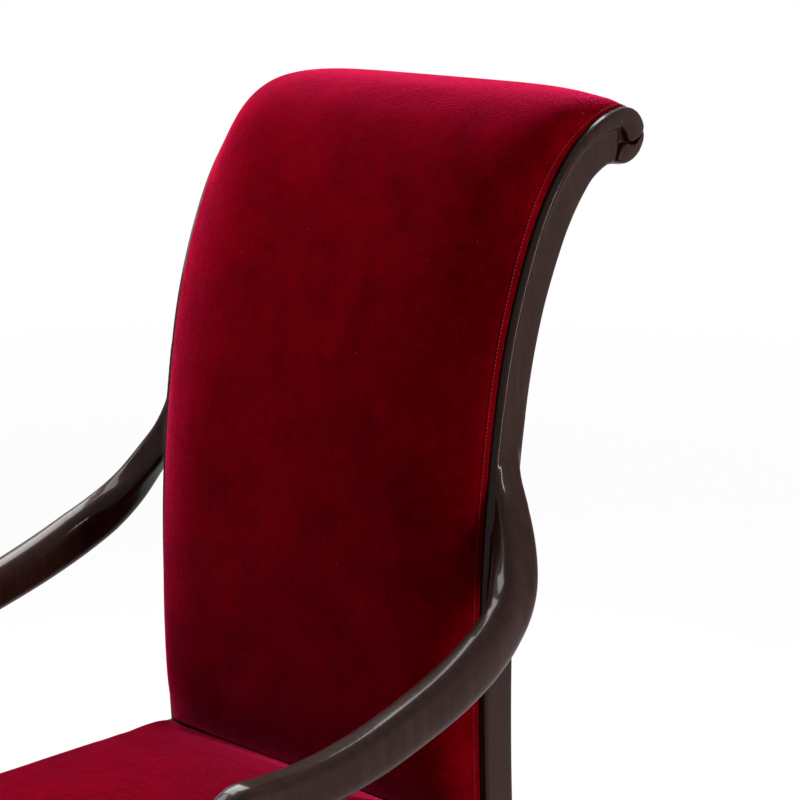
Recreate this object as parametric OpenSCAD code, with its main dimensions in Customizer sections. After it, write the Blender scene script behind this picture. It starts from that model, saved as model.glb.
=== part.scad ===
// Scroll-back armchair for an auditorium row, with a seat that tips up by hand.
// X points to the right as a viewer in front sees it, Y to the back and Z up.
// Right in a name is the viewer's right, on the side of +X.
// The origin lies on the floor, in the middle of the four floor bolts.

/* [Back] */
// Width over the outer faces of the two stiles
back_w = 512; // [500:2:580]
// Thickness of each stile across the chair
stile_w = 36; // [30:1:40]
// Height at which the front of the stile stands upright
upright_z = 600; // [580:5:620]
// Distance of the stile's front edge behind the middle of the floor bolts
upright_y = 169; // [165:1:175]
// Radius of the sabre curve of the rear leg
leg_curve_r = 2980; // [2800:20:3400]
// Radius of the curve at the waist
waist_curve_r = 1610; // [1550:10:1700]
// Radius of the curve behind the sitter's shoulders
shoulder_curve_r = 624; // [600:4:650]
// Radius where the back begins to roll over
neck_curve_r = 290; // [280:2:300]
// Radius of the roll's shoulder
roll_curve_r = 180; // [174:2:190]
// Radius of the last stretch before the scroll
crest_curve_r = 150; // [144:2:156]
// Outer radius of the scroll
scroll_r = 30.5; // [28:0.5:33]
// Depth of the stile at the floor
foot_t = 34; // [30:1:38]
// Depth of the stile at the seat
seat_level_t = 44; // [41:1:47]
// Depth of the stile where it stands upright
upright_t = 46; // [42:1:49]
// Depth of the stile at the waist
waist_t = 42; // [38:1:45]
// Depth of the stile at the neck
neck_t = 48; // [45:1:51]
// Depth of the stile where the scroll begins
throat_t = 55; // [51:1:58]
// Depth of the band that rolls over
band_t = 24; // [18:1:26]
// Radius on the long edges of the stile
stile_edge_r = 6; // [4:0.5:9]

/* [Arms] */
// How far the arm swings out from the stile
arm_flare = 84; // [70:2:92]
// How far the arm runs forward
arm_reach = 459; // [449:2:469]
// How far the arm falls from its root
arm_drop = 296; // [288:2:304]
// Height of the arm's root on the stile
arm_root_z = 880; // [870:2:890]
// Width of the arm at its front
arm_w = 43; // [38:1:48]
// Depth of the arm at the bend
arm_t = 54; // [48:1:58]
// Radius of the curl at the front of the arm
arm_curl_r = 30; // [29:0.5:34]

/* [Legs and rails] */
// Width of the front leg at the seat
front_leg_w = 36; // [32:1:40]
// Width of the front leg at the floor
front_foot_w = 27; // [24:1:30]
// Height of the seat rails' lower edge
rail_z = 332; // [326:1:336]
// Height of the seat rails
rail_h = 66; // [60:1:72]
// Thickness of the side rails
rail_t = 28; // [24:1:30]
// Splay of each side rail from back to front
rail_splay = 32; // [26:1:36]
// Thickness of the rear rail
rear_rail_t = 24; // [20:1:28]
// Thickness of the stretcher between the front legs
stretcher_t = 20; // [16:1:24]
// Height of the stretcher's section
stretcher_h = 34; // [28:1:40]
// Height of the stretcher's lower edge
stretcher_z = 240; // [220:2:250]

/* [Seat] */
// Height of the tipping axis
pivot_z = 366; // [362:1:370]
// Distance of the tipping axis behind the middle of the floor bolts
pivot_y = 20; // [16:1:22]
// Reach of the seat behind the tipping axis
seat_tail = 127; // [122:1:128]
// Reach of the seat in front of the tipping axis
seat_nose = 330; // [320:1:336]
// Gap between the upholstered seat and each side rail
seat_side_gap = 15.5; // [14.5:0.5:17]
// Thickness of the seat frame's rails
seat_rail_t = 26; // [22:1:30]
// Height of the seat frame's rails
seat_rail_h = 50; // [46:1:52]
// Thickness of the velvet band round the seat frame
band_cloth_t = 3; // [2:0.5:4]
// Thickness of the board under the seat
underboard_t = 6; // [4:0.5:8]
// Thickness of the seat pad at its edge
seat_pad_h = 44; // [38:1:48]
// Rise of the seat pad from its edge to its middle
seat_crown = 20; // [12:1:26]

/* [Back pad] */
// Width of the velvet on the back
velvet_w = 496; // [488:1:504]
// Height of the back pad's sides, from the wood to the front seams
border_t = 8; // [6:0.5:9]
// Distance that the sides lean in from the wood to the front seams
border_w = 5; // [4:0.5:7]
// Rise of the back pad from its seams to its fullest
back_crown = 36; // [26:1:39]
// Gap between the rails and the back pad's lower edge
back_pad_lift = 2; // [1:0.5:8]
// Thickness of the outside back panel
panel_t = 6; // [4:0.5:8]

/* [Hardware] */
// Radius of the pivot pin
pin_r = 8; // [6:0.5:9]
// Radial clearance of the pin in its bush
pin_fit = 0.05; // [0.02:0.01:0.09]
// Wall of the bush
bush_wall = 3; // [2:0.5:4]
// Thickness of the steel plates
plate_t = 4; // [3:0.5:5]
// Distance between the floor bolts across the chair
bolt_dx = 400; // [390:2:410]
// Distance between the floor bolts from front to back
bolt_dy = 494; // [486:2:500]
// Radius of the floor bolt holes
bolt_r = 5.5; // [4:0.5:6.5]
// Radius of the rubber buffers
buffer_r = 12; // [9:0.5:13]

/* [Hidden] */
$fn = 48;
joint_gap = 0.2;
soft_gap = 0.4;
cut = 1;
half_back = back_w / 2;
stile_x = half_back - stile_w / 2;
stile_in_x = half_back - stile_w;
screw_r = 2.5;
screw_head_r = 5;
screw_head_h = 2.4;

// Curve of the back: arcs from the upright point, each with its turn from the vertical
back_radii = [waist_curve_r, shoulder_curve_r, neck_curve_r, roll_curve_r, crest_curve_r, scroll_r];
back_turns_share = [10, 16, 17, 22, 17, 210];
function heading(i) = i == 0 ? 0 : heading(i - 1) + back_turns_share[i - 1];
function arc_end(p, a, r, t) = p + r * [cos(a) - cos(a + t), sin(a + t) - sin(a)];
function arc_start(i) = i == 0 ? [upright_y, upright_z]
    : arc_end(arc_start(i - 1), heading(i - 1), back_radii[i - 1], back_turns_share[i - 1]);
function arc_index(a, i = 0) = i == len(back_radii) - 1 || a < heading(i + 1) ? i : arc_index(a, i + 1);
scroll_start = arc_start(len(back_radii) - 1);
scroll_start_a = heading(len(back_radii) - 1);
scroll_mid = scroll_start + scroll_r * [cos(scroll_start_a), -sin(scroll_start_a)];
scroll_end_a = heading(len(back_radii));
throat_a = heading(4) + 5.5;

// A station on the front edge of the stile: its y, its z and the angle of the wood there
function leg_y(z) = upright_y + leg_curve_r - sqrt(pow(leg_curve_r, 2) - pow(upright_z - z, 2));
function leg_station(z) = [leg_y(z), z, 0];
function back_station(a) =
    let (i = arc_index(a), p = arc_end(arc_start(i), heading(i), back_radii[i], a - heading(i)))
    [p[0], p[1], a];
function at_depth(s, d) = [s[0] + d * cos(s[2]), s[1] - d * sin(s[2])];
function leg_depth(z) = lookup(z, [[plate_t, foot_t], [rail_z, seat_level_t], [upright_z, upright_t]]);
function back_depth(a) = lookup(a, [[0, upright_t], [heading(1) - 2, waist_t], [heading(1) + 10, waist_t],
    [heading(3), neck_t], [throat_a, throat_t]]);

// Sections and sweeps
function rounded_ring(w, d0, d1, r, corner_n = 3) =
    let (q = min(r, abs(d1 - d0) / 2 - joint_gap, w / 2 - joint_gap))
    [for (c = [[1, 0], [1, 1], [-1, 1], [-1, 0]], k = [0:corner_n])
        let (mid_x = c[0] * (w / 2 - q), mid_d = c[1] == 0 ? d0 + q : d1 - q,
             from = c == [1, 0] ? -90 : c == [1, 1] ? 0 : c == [-1, 1] ? 90 : 180,
             g = from + 90 * k / corner_n)
        [mid_x + q * cos(g), mid_d + q * sin(g)]];
module skin_of(rings) {
    n = len(rings[0]);
    m = len(rings);
    points = [for (ring = rings, p = ring) p];
    sides = [for (i = [0:m - 2], j = [0:n - 1], t = [0, 1])
        let (a = i * n + j, b = i * n + (j + 1) % n)
        t == 0 ? [a, b, b + n] : [a, b + n, a + n]];
    first = [for (j = [1:n - 2]) [0, j + 1, j]];
    last = [for (j = [1:n - 2]) [(m - 1) * n, (m - 1) * n + j, (m - 1) * n + j + 1]];
    polyhedron(points, concat(sides, first, last));
}
module flip_skin_of(rings) {
    skin_of([for (ring = rings) [for (j = [len(ring) - 1:-1:0]) ring[j]]]);
}
function unit(v) = v / norm(v);
function smooth_at(p, i, t) =
    let (n = len(p) - 1, a = p[max(i - 1, 0)], b = p[i], c = p[min(i + 1, n)], d = p[min(i + 2, n)])
    (2 * b + (c - a) * t + (2 * a - 5 * b + 4 * c - d) * t * t + (3 * b - a - 3 * c + d) * t * t * t) / 2;
function smooth_path(p, steps) =
    concat([for (i = [0:len(p) - 2], k = [0:steps - 1]) smooth_at(p, i, k / steps)], [p[len(p) - 1]]);
function path_dir(p, i) = unit(p[min(i + 1, len(p) - 1)] - p[max(i - 1, 0)]);
// Squarish oval about a point of a path, half_w across the chair and half_h square to that
function oval_ring(p, dir, half_w, half_h, n = 16) =
    let (u = unit([1, 0, 0] - dir * dir[0]), v = cross(dir, u))
    [for (k = [0:n - 1]) let (g = 360 * k / n, c = cos(g), s = sin(g))
        p + u * half_w * sign(c) * pow(abs(c), oval_share) + v * half_h * sign(s) * pow(abs(s), oval_share)];
oval_share = 0.72;

// Stile: rear leg, upright and scroll in one piece of wood
stile_leg_n = 7;
function stile_ring(s, d, r) = [for (q = rounded_ring(stile_w, 0, d, r))
    let (p = at_depth(s, q[1])) [stile_x + q[0], p[0], p[1]]];
leg_rings = [for (k = [0:stile_leg_n])
    let (z = plate_t + (upright_z - plate_t) * k / (stile_leg_n + 1))
    stile_ring(leg_station(z), leg_depth(z), stile_edge_r)];
upright_angles = [0, 2.5, 5, 7.5, 10, 12, 14, 16.5, 19, 21.5, 24, 26, 29, 32, 35.5, 39, 43, 47, 51, 56, 61, 65];
back_rings = [for (a = concat(upright_angles, [throat_a])) stile_ring(back_station(a), back_depth(a), stile_edge_r)];
curl_n = 17;
curl_taper_share = 0.55;
curl_rings = [for (k = [0:curl_n])
    let (a = throat_a + 7 + (scroll_end_a - throat_a - 7) * k / curl_n,
         d = band_t * (1 - curl_taper_share * pow(k / curl_n, 3)))
    stile_ring(back_station(a), d, band_t * 0.45)];
module stile() {
    color("#3a1f1c") flip_skin_of(concat(leg_rings, back_rings, curl_rings));
}
module right_stile() { stile(); }
module left_stile() { mirror([1, 0, 0]) stile(); }

// Arm: leaves the stile at its waist, swings out and forward, and curls under at the front
arm_shares = [[0, 0, 0], [.01, .002, .14], [.12, .012, .285], [.33, .039, .415], [.57, .072, .54],
    [.75, .113, .65], [.87, .179, .735], [.95, .27, .805], [.99, .383, .87], [1, .51, .925],
    [1, .641, .97], [.99, .771, .995], [.965, .891, 1], [.93, 1, .99]];
arm_w_share = [[0, .7], [1, .72], [2, .79], [4, .84], [6, .9], [8, 1], [10, 1], [13, .95]];
arm_t_share = [[0, .58], [1, .62], [2, .7], [3, .78], [4, .86], [5, .93], [6, 1], [7, 1.03], [9, .96], [13, .87]];
arm_sink = 6;
arm_root_y = upright_y + upright_t - arm_sink;
arm_points = [for (s = arm_shares)
    [stile_x + s[0] * arm_flare, arm_root_y - s[1] * arm_reach, arm_root_z - s[2] * arm_drop]];
arm_steps = 3;
arm_path = smooth_path(arm_points, arm_steps);
arm_end = arm_path[len(arm_path) - 1];
arm_end_w = arm_w * lookup(13, arm_w_share) / 2;
arm_end_t = arm_t * lookup(13, arm_t_share) / 2;
arm_rings = [for (i = [0:len(arm_path) - 1])
    oval_ring(arm_path[i], path_dir(arm_path, i), arm_w * lookup(i / arm_steps, arm_w_share) / 2,
        arm_t * lookup(i / arm_steps, arm_t_share) / 2)];
arm_curl_turn = 205;
arm_curl_n = 10;
arm_curl_rings = [for (k = [1:arm_curl_n])
    let (f = k / arm_curl_n, g = arm_curl_turn * f, r = arm_curl_r * (1 - 0.12 * f),
         mid = arm_end - [0, 0, arm_curl_r],
         p = mid + r * [0, -sin(g), cos(g)])
    oval_ring(p, [0, -cos(g), -sin(g)], arm_end_w * (1 - 0.15 * f), arm_end_t * (1 - 0.5 * f))];
module arm() {
    color("#33201d") skin_of(concat(arm_rings, arm_curl_rings));
}
module right_arm() { arm(); }
module left_arm() { mirror([1, 0, 0]) arm(); }

// Front leg and the post that carries the arm
rail_top = rail_z + rail_h;
back_pad_z = rail_top + back_pad_lift;
rail_set = 4;
rail_back_x = stile_in_x + rail_set;
front_leg_y = -262;
front_leg_x = rail_back_x + rail_splay + front_leg_w / 2;
front_kick = 22;
leg_n = 8;
function square_ring(p, w, d, r) = [for (q = rounded_ring(w, -d / 2, d / 2, r)) [p[0] + q[0], p[1] + q[1], p[2]]];
module front_leg() {
    color("#3a1f1c")
        skin_of([for (k = [0:leg_n])
            let (f = k / leg_n, w = front_foot_w + (front_leg_w - front_foot_w) * pow(f, 0.7))
            square_ring([front_leg_x, front_leg_y - front_kick * pow(1 - f, 2), plate_t + (rail_top - plate_t) * f],
                w, w, w / 8)]);
}
module right_front_leg() { front_leg(); }
module left_front_leg() { mirror([1, 0, 0]) front_leg(); }
post_n = 8;
post_seat = 8;
post_in = 18;
post_top_y = arm_end[1] + post_in;
post_top_point = lookup_arm(post_top_y);
post_top_z = post_top_point[1] - arm_end_t + post_seat;
function lookup_arm(y) =
    [lookup(-y, [for (p = arm_path) [-p[1], p[0]]]), lookup(-y, [for (p = arm_path) [-p[1], p[2]]])];
module arm_post() {
    color("#33201d")
        skin_of([for (k = [0:post_n])
            let (f = k / post_n, s = f * f * (3 - 2 * f), w = front_leg_w * (0.92 - 0.22 * sin(180 * f)))
            square_ring([front_leg_x + (post_top_point[0] - front_leg_x) * s, front_leg_y + (post_top_y - front_leg_y) * s,
                rail_top + (post_top_z - rail_top) * f], w * 0.9, w, w / 4)]);
}
module right_arm_post() { arm_post(); }
module left_arm_post() { mirror([1, 0, 0]) arm_post(); }

// Side rails run from the stile to the front leg, with a shallow arch below
rail_front_y = front_leg_y + front_leg_w / 2;
rail_back_y = leg_y(rail_top);
function rail_in_x(y) = rail_back_x + rail_splay * (rail_back_y - y) / (rail_back_y - rail_front_y);
rail_arch_h = 12;
rail_arch_n = 12;
module side_rail() {
    color("#3a1f1c") difference() {
        intersection() {
            linear_extrude(rail_top + cut)
                polygon([[rail_in_x(rail_front_y), rail_front_y + joint_gap],
                    [rail_in_x(rail_front_y) + rail_t, rail_front_y + joint_gap],
                    [rail_back_x + rail_t, leg_y(rail_z)], [rail_back_x, leg_y(rail_z)]]);
            rotate([90, 0, 90]) linear_extrude(half_back + rail_splay + rail_t)
                polygon(concat([[rail_front_y, rail_top], [rail_front_y, rail_z]],
                    [for (k = [1:rail_arch_n - 1])
                        let (f = k / rail_arch_n) [rail_front_y + (rail_back_y - rail_front_y) * f,
                            rail_z + rail_arch_h * pow(sin(180 * f), 0.8)]],
                    [[leg_y(rail_z) - joint_gap, rail_z], [leg_y(rail_top) - joint_gap, rail_top]]));
        }
        bracket_screw_places() cylinder(r = screw_r, h = screw_len);
        rest_screw_places() cylinder(r = screw_r, h = screw_len);
    }
}
module right_side_rail() { side_rail(); }
module left_side_rail() { mirror([1, 0, 0]) side_rail(); }

// Rear rail between the stiles, and the stretcher between the front legs
rear_rail_set = 6;
rear_rail_y = leg_y(rail_z) + rear_rail_set;
module rear_rail() {
    color("#3a1f1c")
        translate([joint_gap - stile_in_x, rear_rail_y, rail_z])
        cube([2 * (stile_in_x - joint_gap), rear_rail_t, rail_h]);
}
function front_leg_half(z) = let (f = (z - plate_t) / (rail_top - plate_t))
    (front_foot_w + (front_leg_w - front_foot_w) * pow(f, 0.7)) / 2;
stretcher_set = 4;
stretcher_y = front_leg_y - stretcher_set;
stretcher_half = front_leg_x - front_leg_half(stretcher_z + stretcher_h) - joint_gap;
module front_stretcher() {
    color("#3a1f1c")
        translate([0, stretcher_y, stretcher_z])
        rotate([90, 0, 90]) translate([0, 0, -stretcher_half])
        linear_extrude(2 * stretcher_half)
        union() {
            translate([-stretcher_t / 2, 0]) square([stretcher_t, stretcher_h - stretcher_t / 2]);
            translate([0, stretcher_h - stretcher_t / 2]) circle(r = stretcher_t / 2);
        }
}

// Glued blocks in the back corners
block_leg = 30;
block_lift = 10;
block_below_pad = 4;
module corner_block() {
    translate([0, 0, rail_z + block_lift])
        linear_extrude(back_pad_z - block_below_pad - rail_z - block_lift)
        polygon([[frame_half, rear_rail_y - joint_gap], [frame_half - block_leg, rear_rail_y - joint_gap],
            [frame_half, rear_rail_y - block_leg]]);
}
module corner_blocks() {
    color("#8a6238") {
        corner_block();
        mirror([1, 0, 0]) corner_block();
    }
}

// Back frame: the roll at the top, a lumbar rail and a bottom rail between the stiles
frame_half = stile_in_x - joint_gap;
web_angles = [46, 52, 58, 65, throat_a];
module crest_rail() {
    inner = strap_t + joint_gap;
    outer = panel_t + panel_inset + joint_gap;
    color("#8a6238") rotate([90, 0, 90]) translate([0, 0, -frame_half]) union() {
        translate([scroll_mid[0], scroll_mid[1], 0]) cylinder(r = scroll_r, h = 2 * frame_half);
        linear_extrude(2 * frame_half)
            polygon(concat([for (a = web_angles) at_depth(back_station(a), inner)],
                [at_depth(back_station(scroll_start_a), inner), scroll_mid],
                [for (k = [len(web_angles) - 1:-1:0])
                    at_depth(back_station(web_angles[k]), back_depth(web_angles[k]) - outer)]));
    }
}
lumbar_angles = [4, 6, 8, 10];
module cross_rail(stations, t) {
    rotate([90, 0, 90]) translate([0, 0, -frame_half]) linear_extrude(2 * frame_half)
        polygon(concat([for (s = stations) at_depth(s, strap_t + joint_gap)],
            [for (k = [len(stations) - 1:-1:0]) at_depth(stations[k], strap_t + t)]));
}
inner_rail_t = 22;
panel_inset = 2;
strap_t = 1.6;
module lumbar_rail() {
    color("#8a6238") cross_rail([for (a = lumbar_angles) back_station(a)], inner_rail_t);
}
bottom_rail_h = 60;
bottom_rail_lift = 4;
module back_bottom_rail() {
    color("#8a6238")
        cross_rail([for (k = [0:3]) leg_station(rail_top + bottom_rail_lift + bottom_rail_h * k / 3)], inner_rail_t);
}

// Upright straps behind the back pad
strap_n = 5;
strap_w = 50;
strap_angles = [0, 2, 4, 6, 8, 10, 13, 16, 19, 22, 25, 28, 31, 34, 38, 42, 46, 52];
strap_z = rail_top + bottom_rail_lift;
module back_webbing() {
    stations = concat([for (k = [0:6]) leg_station(strap_z + (upright_z - strap_z) * k / 7)],
        [for (a = strap_angles) back_station(a)]);
    pitch = 2 * frame_half / strap_n;
    color("#b79a6a") for (i = [0:strap_n - 1])
        rotate([90, 0, 90]) translate([0, 0, pitch * (i + 0.5) - frame_half - strap_w / 2])
            linear_extrude(strap_w) polygon(concat([for (s = stations) at_depth(s, 0)],
                [for (k = [len(stations) - 1:-1:0]) at_depth(stations[k], strap_t)]));
}

// Back pad: boxed sides up to the front seams, a full crown between them, and carried over the roll
back_pad_path = concat([for (k = [0:6]) leg_station(back_pad_z + (upright_z - back_pad_z) * k / 7)],
    [for (a = [0, 2.5, 5, 7.5, 10, 14, 18, 22, 26, 30, 34, 38.5, 43, 50.5, 58, 65, 71, 76]) back_station(a)],
    [for (k = [0:12]) back_station(scroll_start_a + (scroll_end_a - scroll_start_a - 22) * k / 12)]);
pad_last = len(back_pad_path) - 1;
pad_side_share = [[0, .69], [6, .75], [12, .85], [17, 1], [19, .95], [20, .78], [21, .53], [22, .42], [24, .35],
    [26, .3], [pad_last, .3]];
pad_crown_share = [[0, .36], [1, .78], [2, 1], [6, .97], [9, .83], [12, .7], [15, .7], [18, .86], [20, .97],
    [22, .8], [24, .5], [26, .39], [28, .39], [31, .33], [34, .22], [pad_last, 0]];
pad_fullness = [[0, 14], [6, 14], [9, 10], [12, 7], [15, 7], [18, 10], [20, 12], [22, 10], [24, 6], [26, 4.5],
    [pad_last, 4.5]];
pad_across_share = [-1, -.985, -.955, -.91, -.83, -.68, -.46, -.23, 0, .23, .46, .68, .83, .91, .955, .985, 1];
side_foot_share = .3;
function pad_point(i, x, proud) = let (p = at_depth(back_pad_path[i], -soft_gap - proud)) [x, p[0], p[1]];
function back_pad_ring(i) = let (seam = velvet_w / 2 - border_w, side = border_t * lookup(i, pad_side_share),
        rise = back_crown * lookup(i, pad_crown_share), full = lookup(i, pad_fullness))
    concat([pad_point(i, -velvet_w / 2, side * side_foot_share)],
        [for (s = pad_across_share) pad_point(i, s * seam, side + rise * (1 - pow(abs(s), full)))],
        [pad_point(i, velvet_w / 2, side * side_foot_share)],
        [pad_point(i, velvet_w / 2, 0), pad_point(i, -velvet_w / 2, 0)]);
module back_pad() {
    ring = len(pad_across_share) + 4;
    m = pad_last + 1;
    points = [for (i = [0:pad_last], p = back_pad_ring(i)) p];
    sides = [for (i = [0:m - 2], j = [0:ring - 1], t = [0, 1])
        let (a = i * ring + j, b = i * ring + (j + 1) % ring)
        t == 0 ? [a, b + ring, b] : [a, a + ring, b + ring]];
    ends = [for (e = [0, m - 1], j = [0:ring - 3])
        let (a = e * ring + ring - 1, b = e * ring + j, tri = [a, b, b + 1])
        e == 0 ? tri : [tri[2], tri[1], tri[0]]];
    color("#8a0a26") polyhedron(points, concat(sides, ends));
}

// Outside back: one covered panel from under the roll down to the bottom rail
panel_stations = concat([for (k = [0:4]) leg_station(back_pad_z + (upright_z - back_pad_z) * k / 5)],
    [for (a = concat([0, 4, 8, 12, 16, 20, 24, 28, 33, 38, 42], [for (k = [0:len(web_angles) - 2]) web_angles[k]]))
        back_station(a)]);
function depth_of(s) = s[1] <= upright_z ? leg_depth(s[1]) : back_depth(s[2]);
module back_outer_panel() {
    color("#7a0a22")
        rotate([90, 0, 90]) translate([0, 0, -frame_half]) linear_extrude(2 * frame_half)
        polygon(concat([for (s = panel_stations) at_depth(s, depth_of(s) - panel_inset)],
            [for (k = [len(panel_stations) - 1:-1:0]) let (s = panel_stations[k])
                at_depth(s, depth_of(s) - panel_inset - panel_t)]));
}

// Seat: frame, straps, pad, band and board
seat_back_y = pivot_y + seat_tail;
seat_front_y = pivot_y - seat_nose;
axis_lift = 31;
seat_z = pivot_z - axis_lift;
seat_top_z = seat_z + seat_rail_h;
function seat_half(y) = rail_in_x(y) - seat_side_gap;
function seat_frame_half(y) = seat_half(y) - band_cloth_t - joint_gap;
seat_rear_set = 4;
seat_rear_in_y = seat_back_y - seat_rear_set;
seat_front_in_y = seat_front_y + band_cloth_t + joint_gap;
bush_r = pin_r + bush_wall;
spot_r = 20;
spot_depth = 4;
spot_x = seat_frame_half(pivot_y) - spot_depth;
module seat_side_rail() {
    y0 = seat_front_in_y + seat_rail_t + joint_gap;
    y1 = seat_rear_in_y - seat_rail_t - joint_gap;
    color("#8a6238") difference() {
        translate([0, 0, seat_z]) linear_extrude(seat_rail_h)
            polygon([[seat_frame_half(y0) - seat_rail_t, y0], [seat_frame_half(y0), y0],
                [seat_frame_half(y1), y1], [seat_frame_half(y1) - seat_rail_t, y1]]);
        translate([0, pivot_y, pivot_z]) rotate([0, 90, 0]) cylinder(r = bush_r, h = half_back);
        translate([spot_x, pivot_y, pivot_z]) rotate([0, 90, 0]) cylinder(r = spot_r, h = half_back);
    }
}
module right_seat_rail() { seat_side_rail(); }
module left_seat_rail() { mirror([1, 0, 0]) seat_side_rail(); }
function cross_outline(y0, y1, gap = 0) = [[-seat_frame_half(y0) - gap, y0], [seat_frame_half(y0) + gap, y0],
    [seat_frame_half(y1) + gap, y1], [-seat_frame_half(y1) - gap, y1]];
module seat_front_rail() {
    color("#8a6238") translate([0, 0, seat_z]) linear_extrude(seat_rail_h)
        polygon(cross_outline(seat_front_in_y, seat_front_in_y + seat_rail_t));
}
module seat_rear_rail() {
    color("#8a6238") translate([0, 0, seat_z]) linear_extrude(seat_rail_h)
        polygon(cross_outline(seat_rear_in_y, seat_rear_in_y - seat_rail_t));
}
seat_strap_w = 50;
seat_strap_n = 5;
strap_end = 6;
module seat_webbing() {
    span_y = seat_rear_in_y - seat_front_in_y;
    span_x = 2 * seat_frame_half(seat_rear_in_y);
    color("#b79a6a") {
        for (i = [0:seat_strap_n - 1]) {
            y = seat_front_in_y + span_y * (i + 0.5) / seat_strap_n;
            reach = seat_frame_half(y + seat_strap_w / 2) - strap_end;
            translate([-reach, y - seat_strap_w / 2, seat_top_z]) cube([2 * reach, seat_strap_w, strap_t]);
        }
        for (i = [0:seat_strap_n - 1])
            translate([span_x * ((i + 0.5) / seat_strap_n - 0.5) - seat_strap_w / 2, seat_front_in_y + strap_end,
                seat_top_z + strap_t + joint_gap / 2])
                cube([seat_strap_w, span_y - 2 * strap_end, strap_t]);
    }
}
// Outline of the seat pad at one height, drawn in by inset and kept inside the tipping arc at the back
pad_floor_z = seat_top_z + 2 * strap_t + joint_gap;
pad_corner_r = 26;
pad_corner_n = 6;
side_n = 6;
back_inset_share = 0.3;
tip_gap = 1;
function tip_back_y(z) = pivot_y + sqrt(pow(seat_tail, 2) - pow(z - pivot_z, 2)) - tip_gap;
function corner(mid, r, from) = [for (k = [0:pad_corner_n]) mid + r * [cos(from + 90 * k / pad_corner_n),
    sin(from + 90 * k / pad_corner_n)]];
function seat_outline(z, inset, r) =
    let (back = tip_back_y(z) - inset * back_inset_share, front = seat_front_y + inset,
         wb = seat_half(back) - inset, wf = seat_half(front) - inset)
    [for (p = concat(corner([wb - r, back - r], r, 0), corner([r - wb, back - r], r, 90),
        [for (k = [1:side_n]) let (f = k / (side_n + 1)) [-wb + (wb - wf) * f, back + (front - back) * f]],
        corner([r - wf, front + r], r, 180),
        [for (k = [1:side_n]) let (f = k / (side_n + 1)) [(2 * f - 1) * (wf - r), front]],
        corner([wf - r, front + r], r, 270),
        [for (k = [1:side_n]) let (f = k / (side_n + 1)) [wf + (wb - wf) * f, front + (back - front) * f]]))
        [p[0], p[1], z]];
pad_roll = 16;
seat_pad_share = [[0, .16], [.25, .04], [.5, 0], [.72, .06], [.88, .25], [.97, .56], [1, 1]];
seat_crown_share = [[.12, .3], [.3, .62], [.5, .84], [.72, .96], [.9, 1]];
// A ring of the crown: the outline drawn in towards the middle, where it turns into an oval
function crown_ring(ring, f, z, mid, half) = [for (p = ring)
    let (d = [p[0] - mid[0], p[1] - mid[1]], g = atan2(d[1] / half[1], d[0] / half[0]),
         q = d * f + [half[0] * cos(g), half[1] * sin(g)] * (1 - f))
    [mid[0] + q[0] * f, mid[1] + q[1] * f, z]];
module seat_pad() {
    sides = [for (s = seat_pad_share)
        seat_outline(pad_floor_z + seat_pad_h * s[0], s[1] * pad_roll, pad_corner_r - s[1] * pad_roll / 2)];
    top = sides[len(sides) - 1];
    mid = [0, (seat_back_y + seat_front_y) / 2];
    half = [seat_half(mid[1]), (seat_back_y - seat_front_y) / 2];
    crown = [for (s = seat_crown_share)
        crown_ring(top, 1 - s[0], pad_floor_z + seat_pad_h + seat_crown * s[1], mid, half)];
    color("#8a0a26") skin_of(concat(sides, crown));
}
band_hole_r = 24;
module seat_band() {
    outer = [[-seat_half(seat_rear_in_y), seat_rear_in_y], [-seat_half(seat_front_y), seat_front_y],
        [seat_half(seat_front_y), seat_front_y], [seat_half(seat_rear_in_y), seat_rear_in_y]];
    inner = cross_outline(seat_front_in_y - joint_gap, seat_rear_in_y + cut, joint_gap);
    color("#7a0a22") difference() {
        translate([0, 0, seat_z]) linear_extrude(pad_floor_z - seat_z) difference() {
            polygon(outer);
            polygon(inner);
        }
        translate([-half_back, pivot_y, pivot_z]) rotate([0, 90, 0]) cylinder(r = band_hole_r, h = 2 * half_back);
    }
}
board_inset = 4;
vent_r = 9;
vent_pitch = 60;
vent_n = 2;
module seat_underboard() {
    y0 = seat_front_y + board_inset;
    y1 = seat_rear_in_y - board_inset;
    color("#2c1714") difference() {
        translate([0, 0, seat_z - underboard_t]) linear_extrude(underboard_t)
            polygon([[board_inset - seat_half(y0), y0], [seat_half(y0) - board_inset, y0],
                [seat_half(y1) - board_inset, y1], [board_inset - seat_half(y1), y1]]);
        for (i = [-vent_n:vent_n], j = [-vent_n:vent_n])
            translate([i * vent_pitch, pivot_y - seat_nose / 3 + j * vent_pitch, seat_z - underboard_t - cut])
                cylinder(r = vent_r, h = underboard_t + 2 * cut);
    }
}

// Tip-up hinge: bush in the seat rail, pin on a steel bracket that is screwed to a block on the side rail
bush_flange_t = 3;
bush_out = 1;
bush_fit = 0.02;
bush_in_x = seat_frame_half(pivot_y) - seat_rail_t - bush_out;
block_front = 40;
block_back = 30;
bracket_gap = 3;
bracket_x = seat_half(pivot_y - block_front) + bracket_gap;
module pivot_bush() {
    color("#c9a25a") translate([0, pivot_y, pivot_z]) rotate([0, 90, 0]) difference() {
        union() {
            translate([0, 0, bush_in_x]) cylinder(r = bush_r - bush_fit, h = spot_x - bush_in_x);
            translate([0, 0, spot_x]) cylinder(r = spot_r - bush_flange_t, h = bush_flange_t);
        }
        translate([0, 0, bush_in_x - cut]) cylinder(r = pin_r + pin_fit, h = half_back);
    }
}
module right_pivot_bush() { pivot_bush(); }
module left_pivot_bush() { mirror([1, 0, 0]) pivot_bush(); }
spacer_x = spot_x + bush_flange_t + joint_gap;
spacer_wall = 6;
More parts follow.
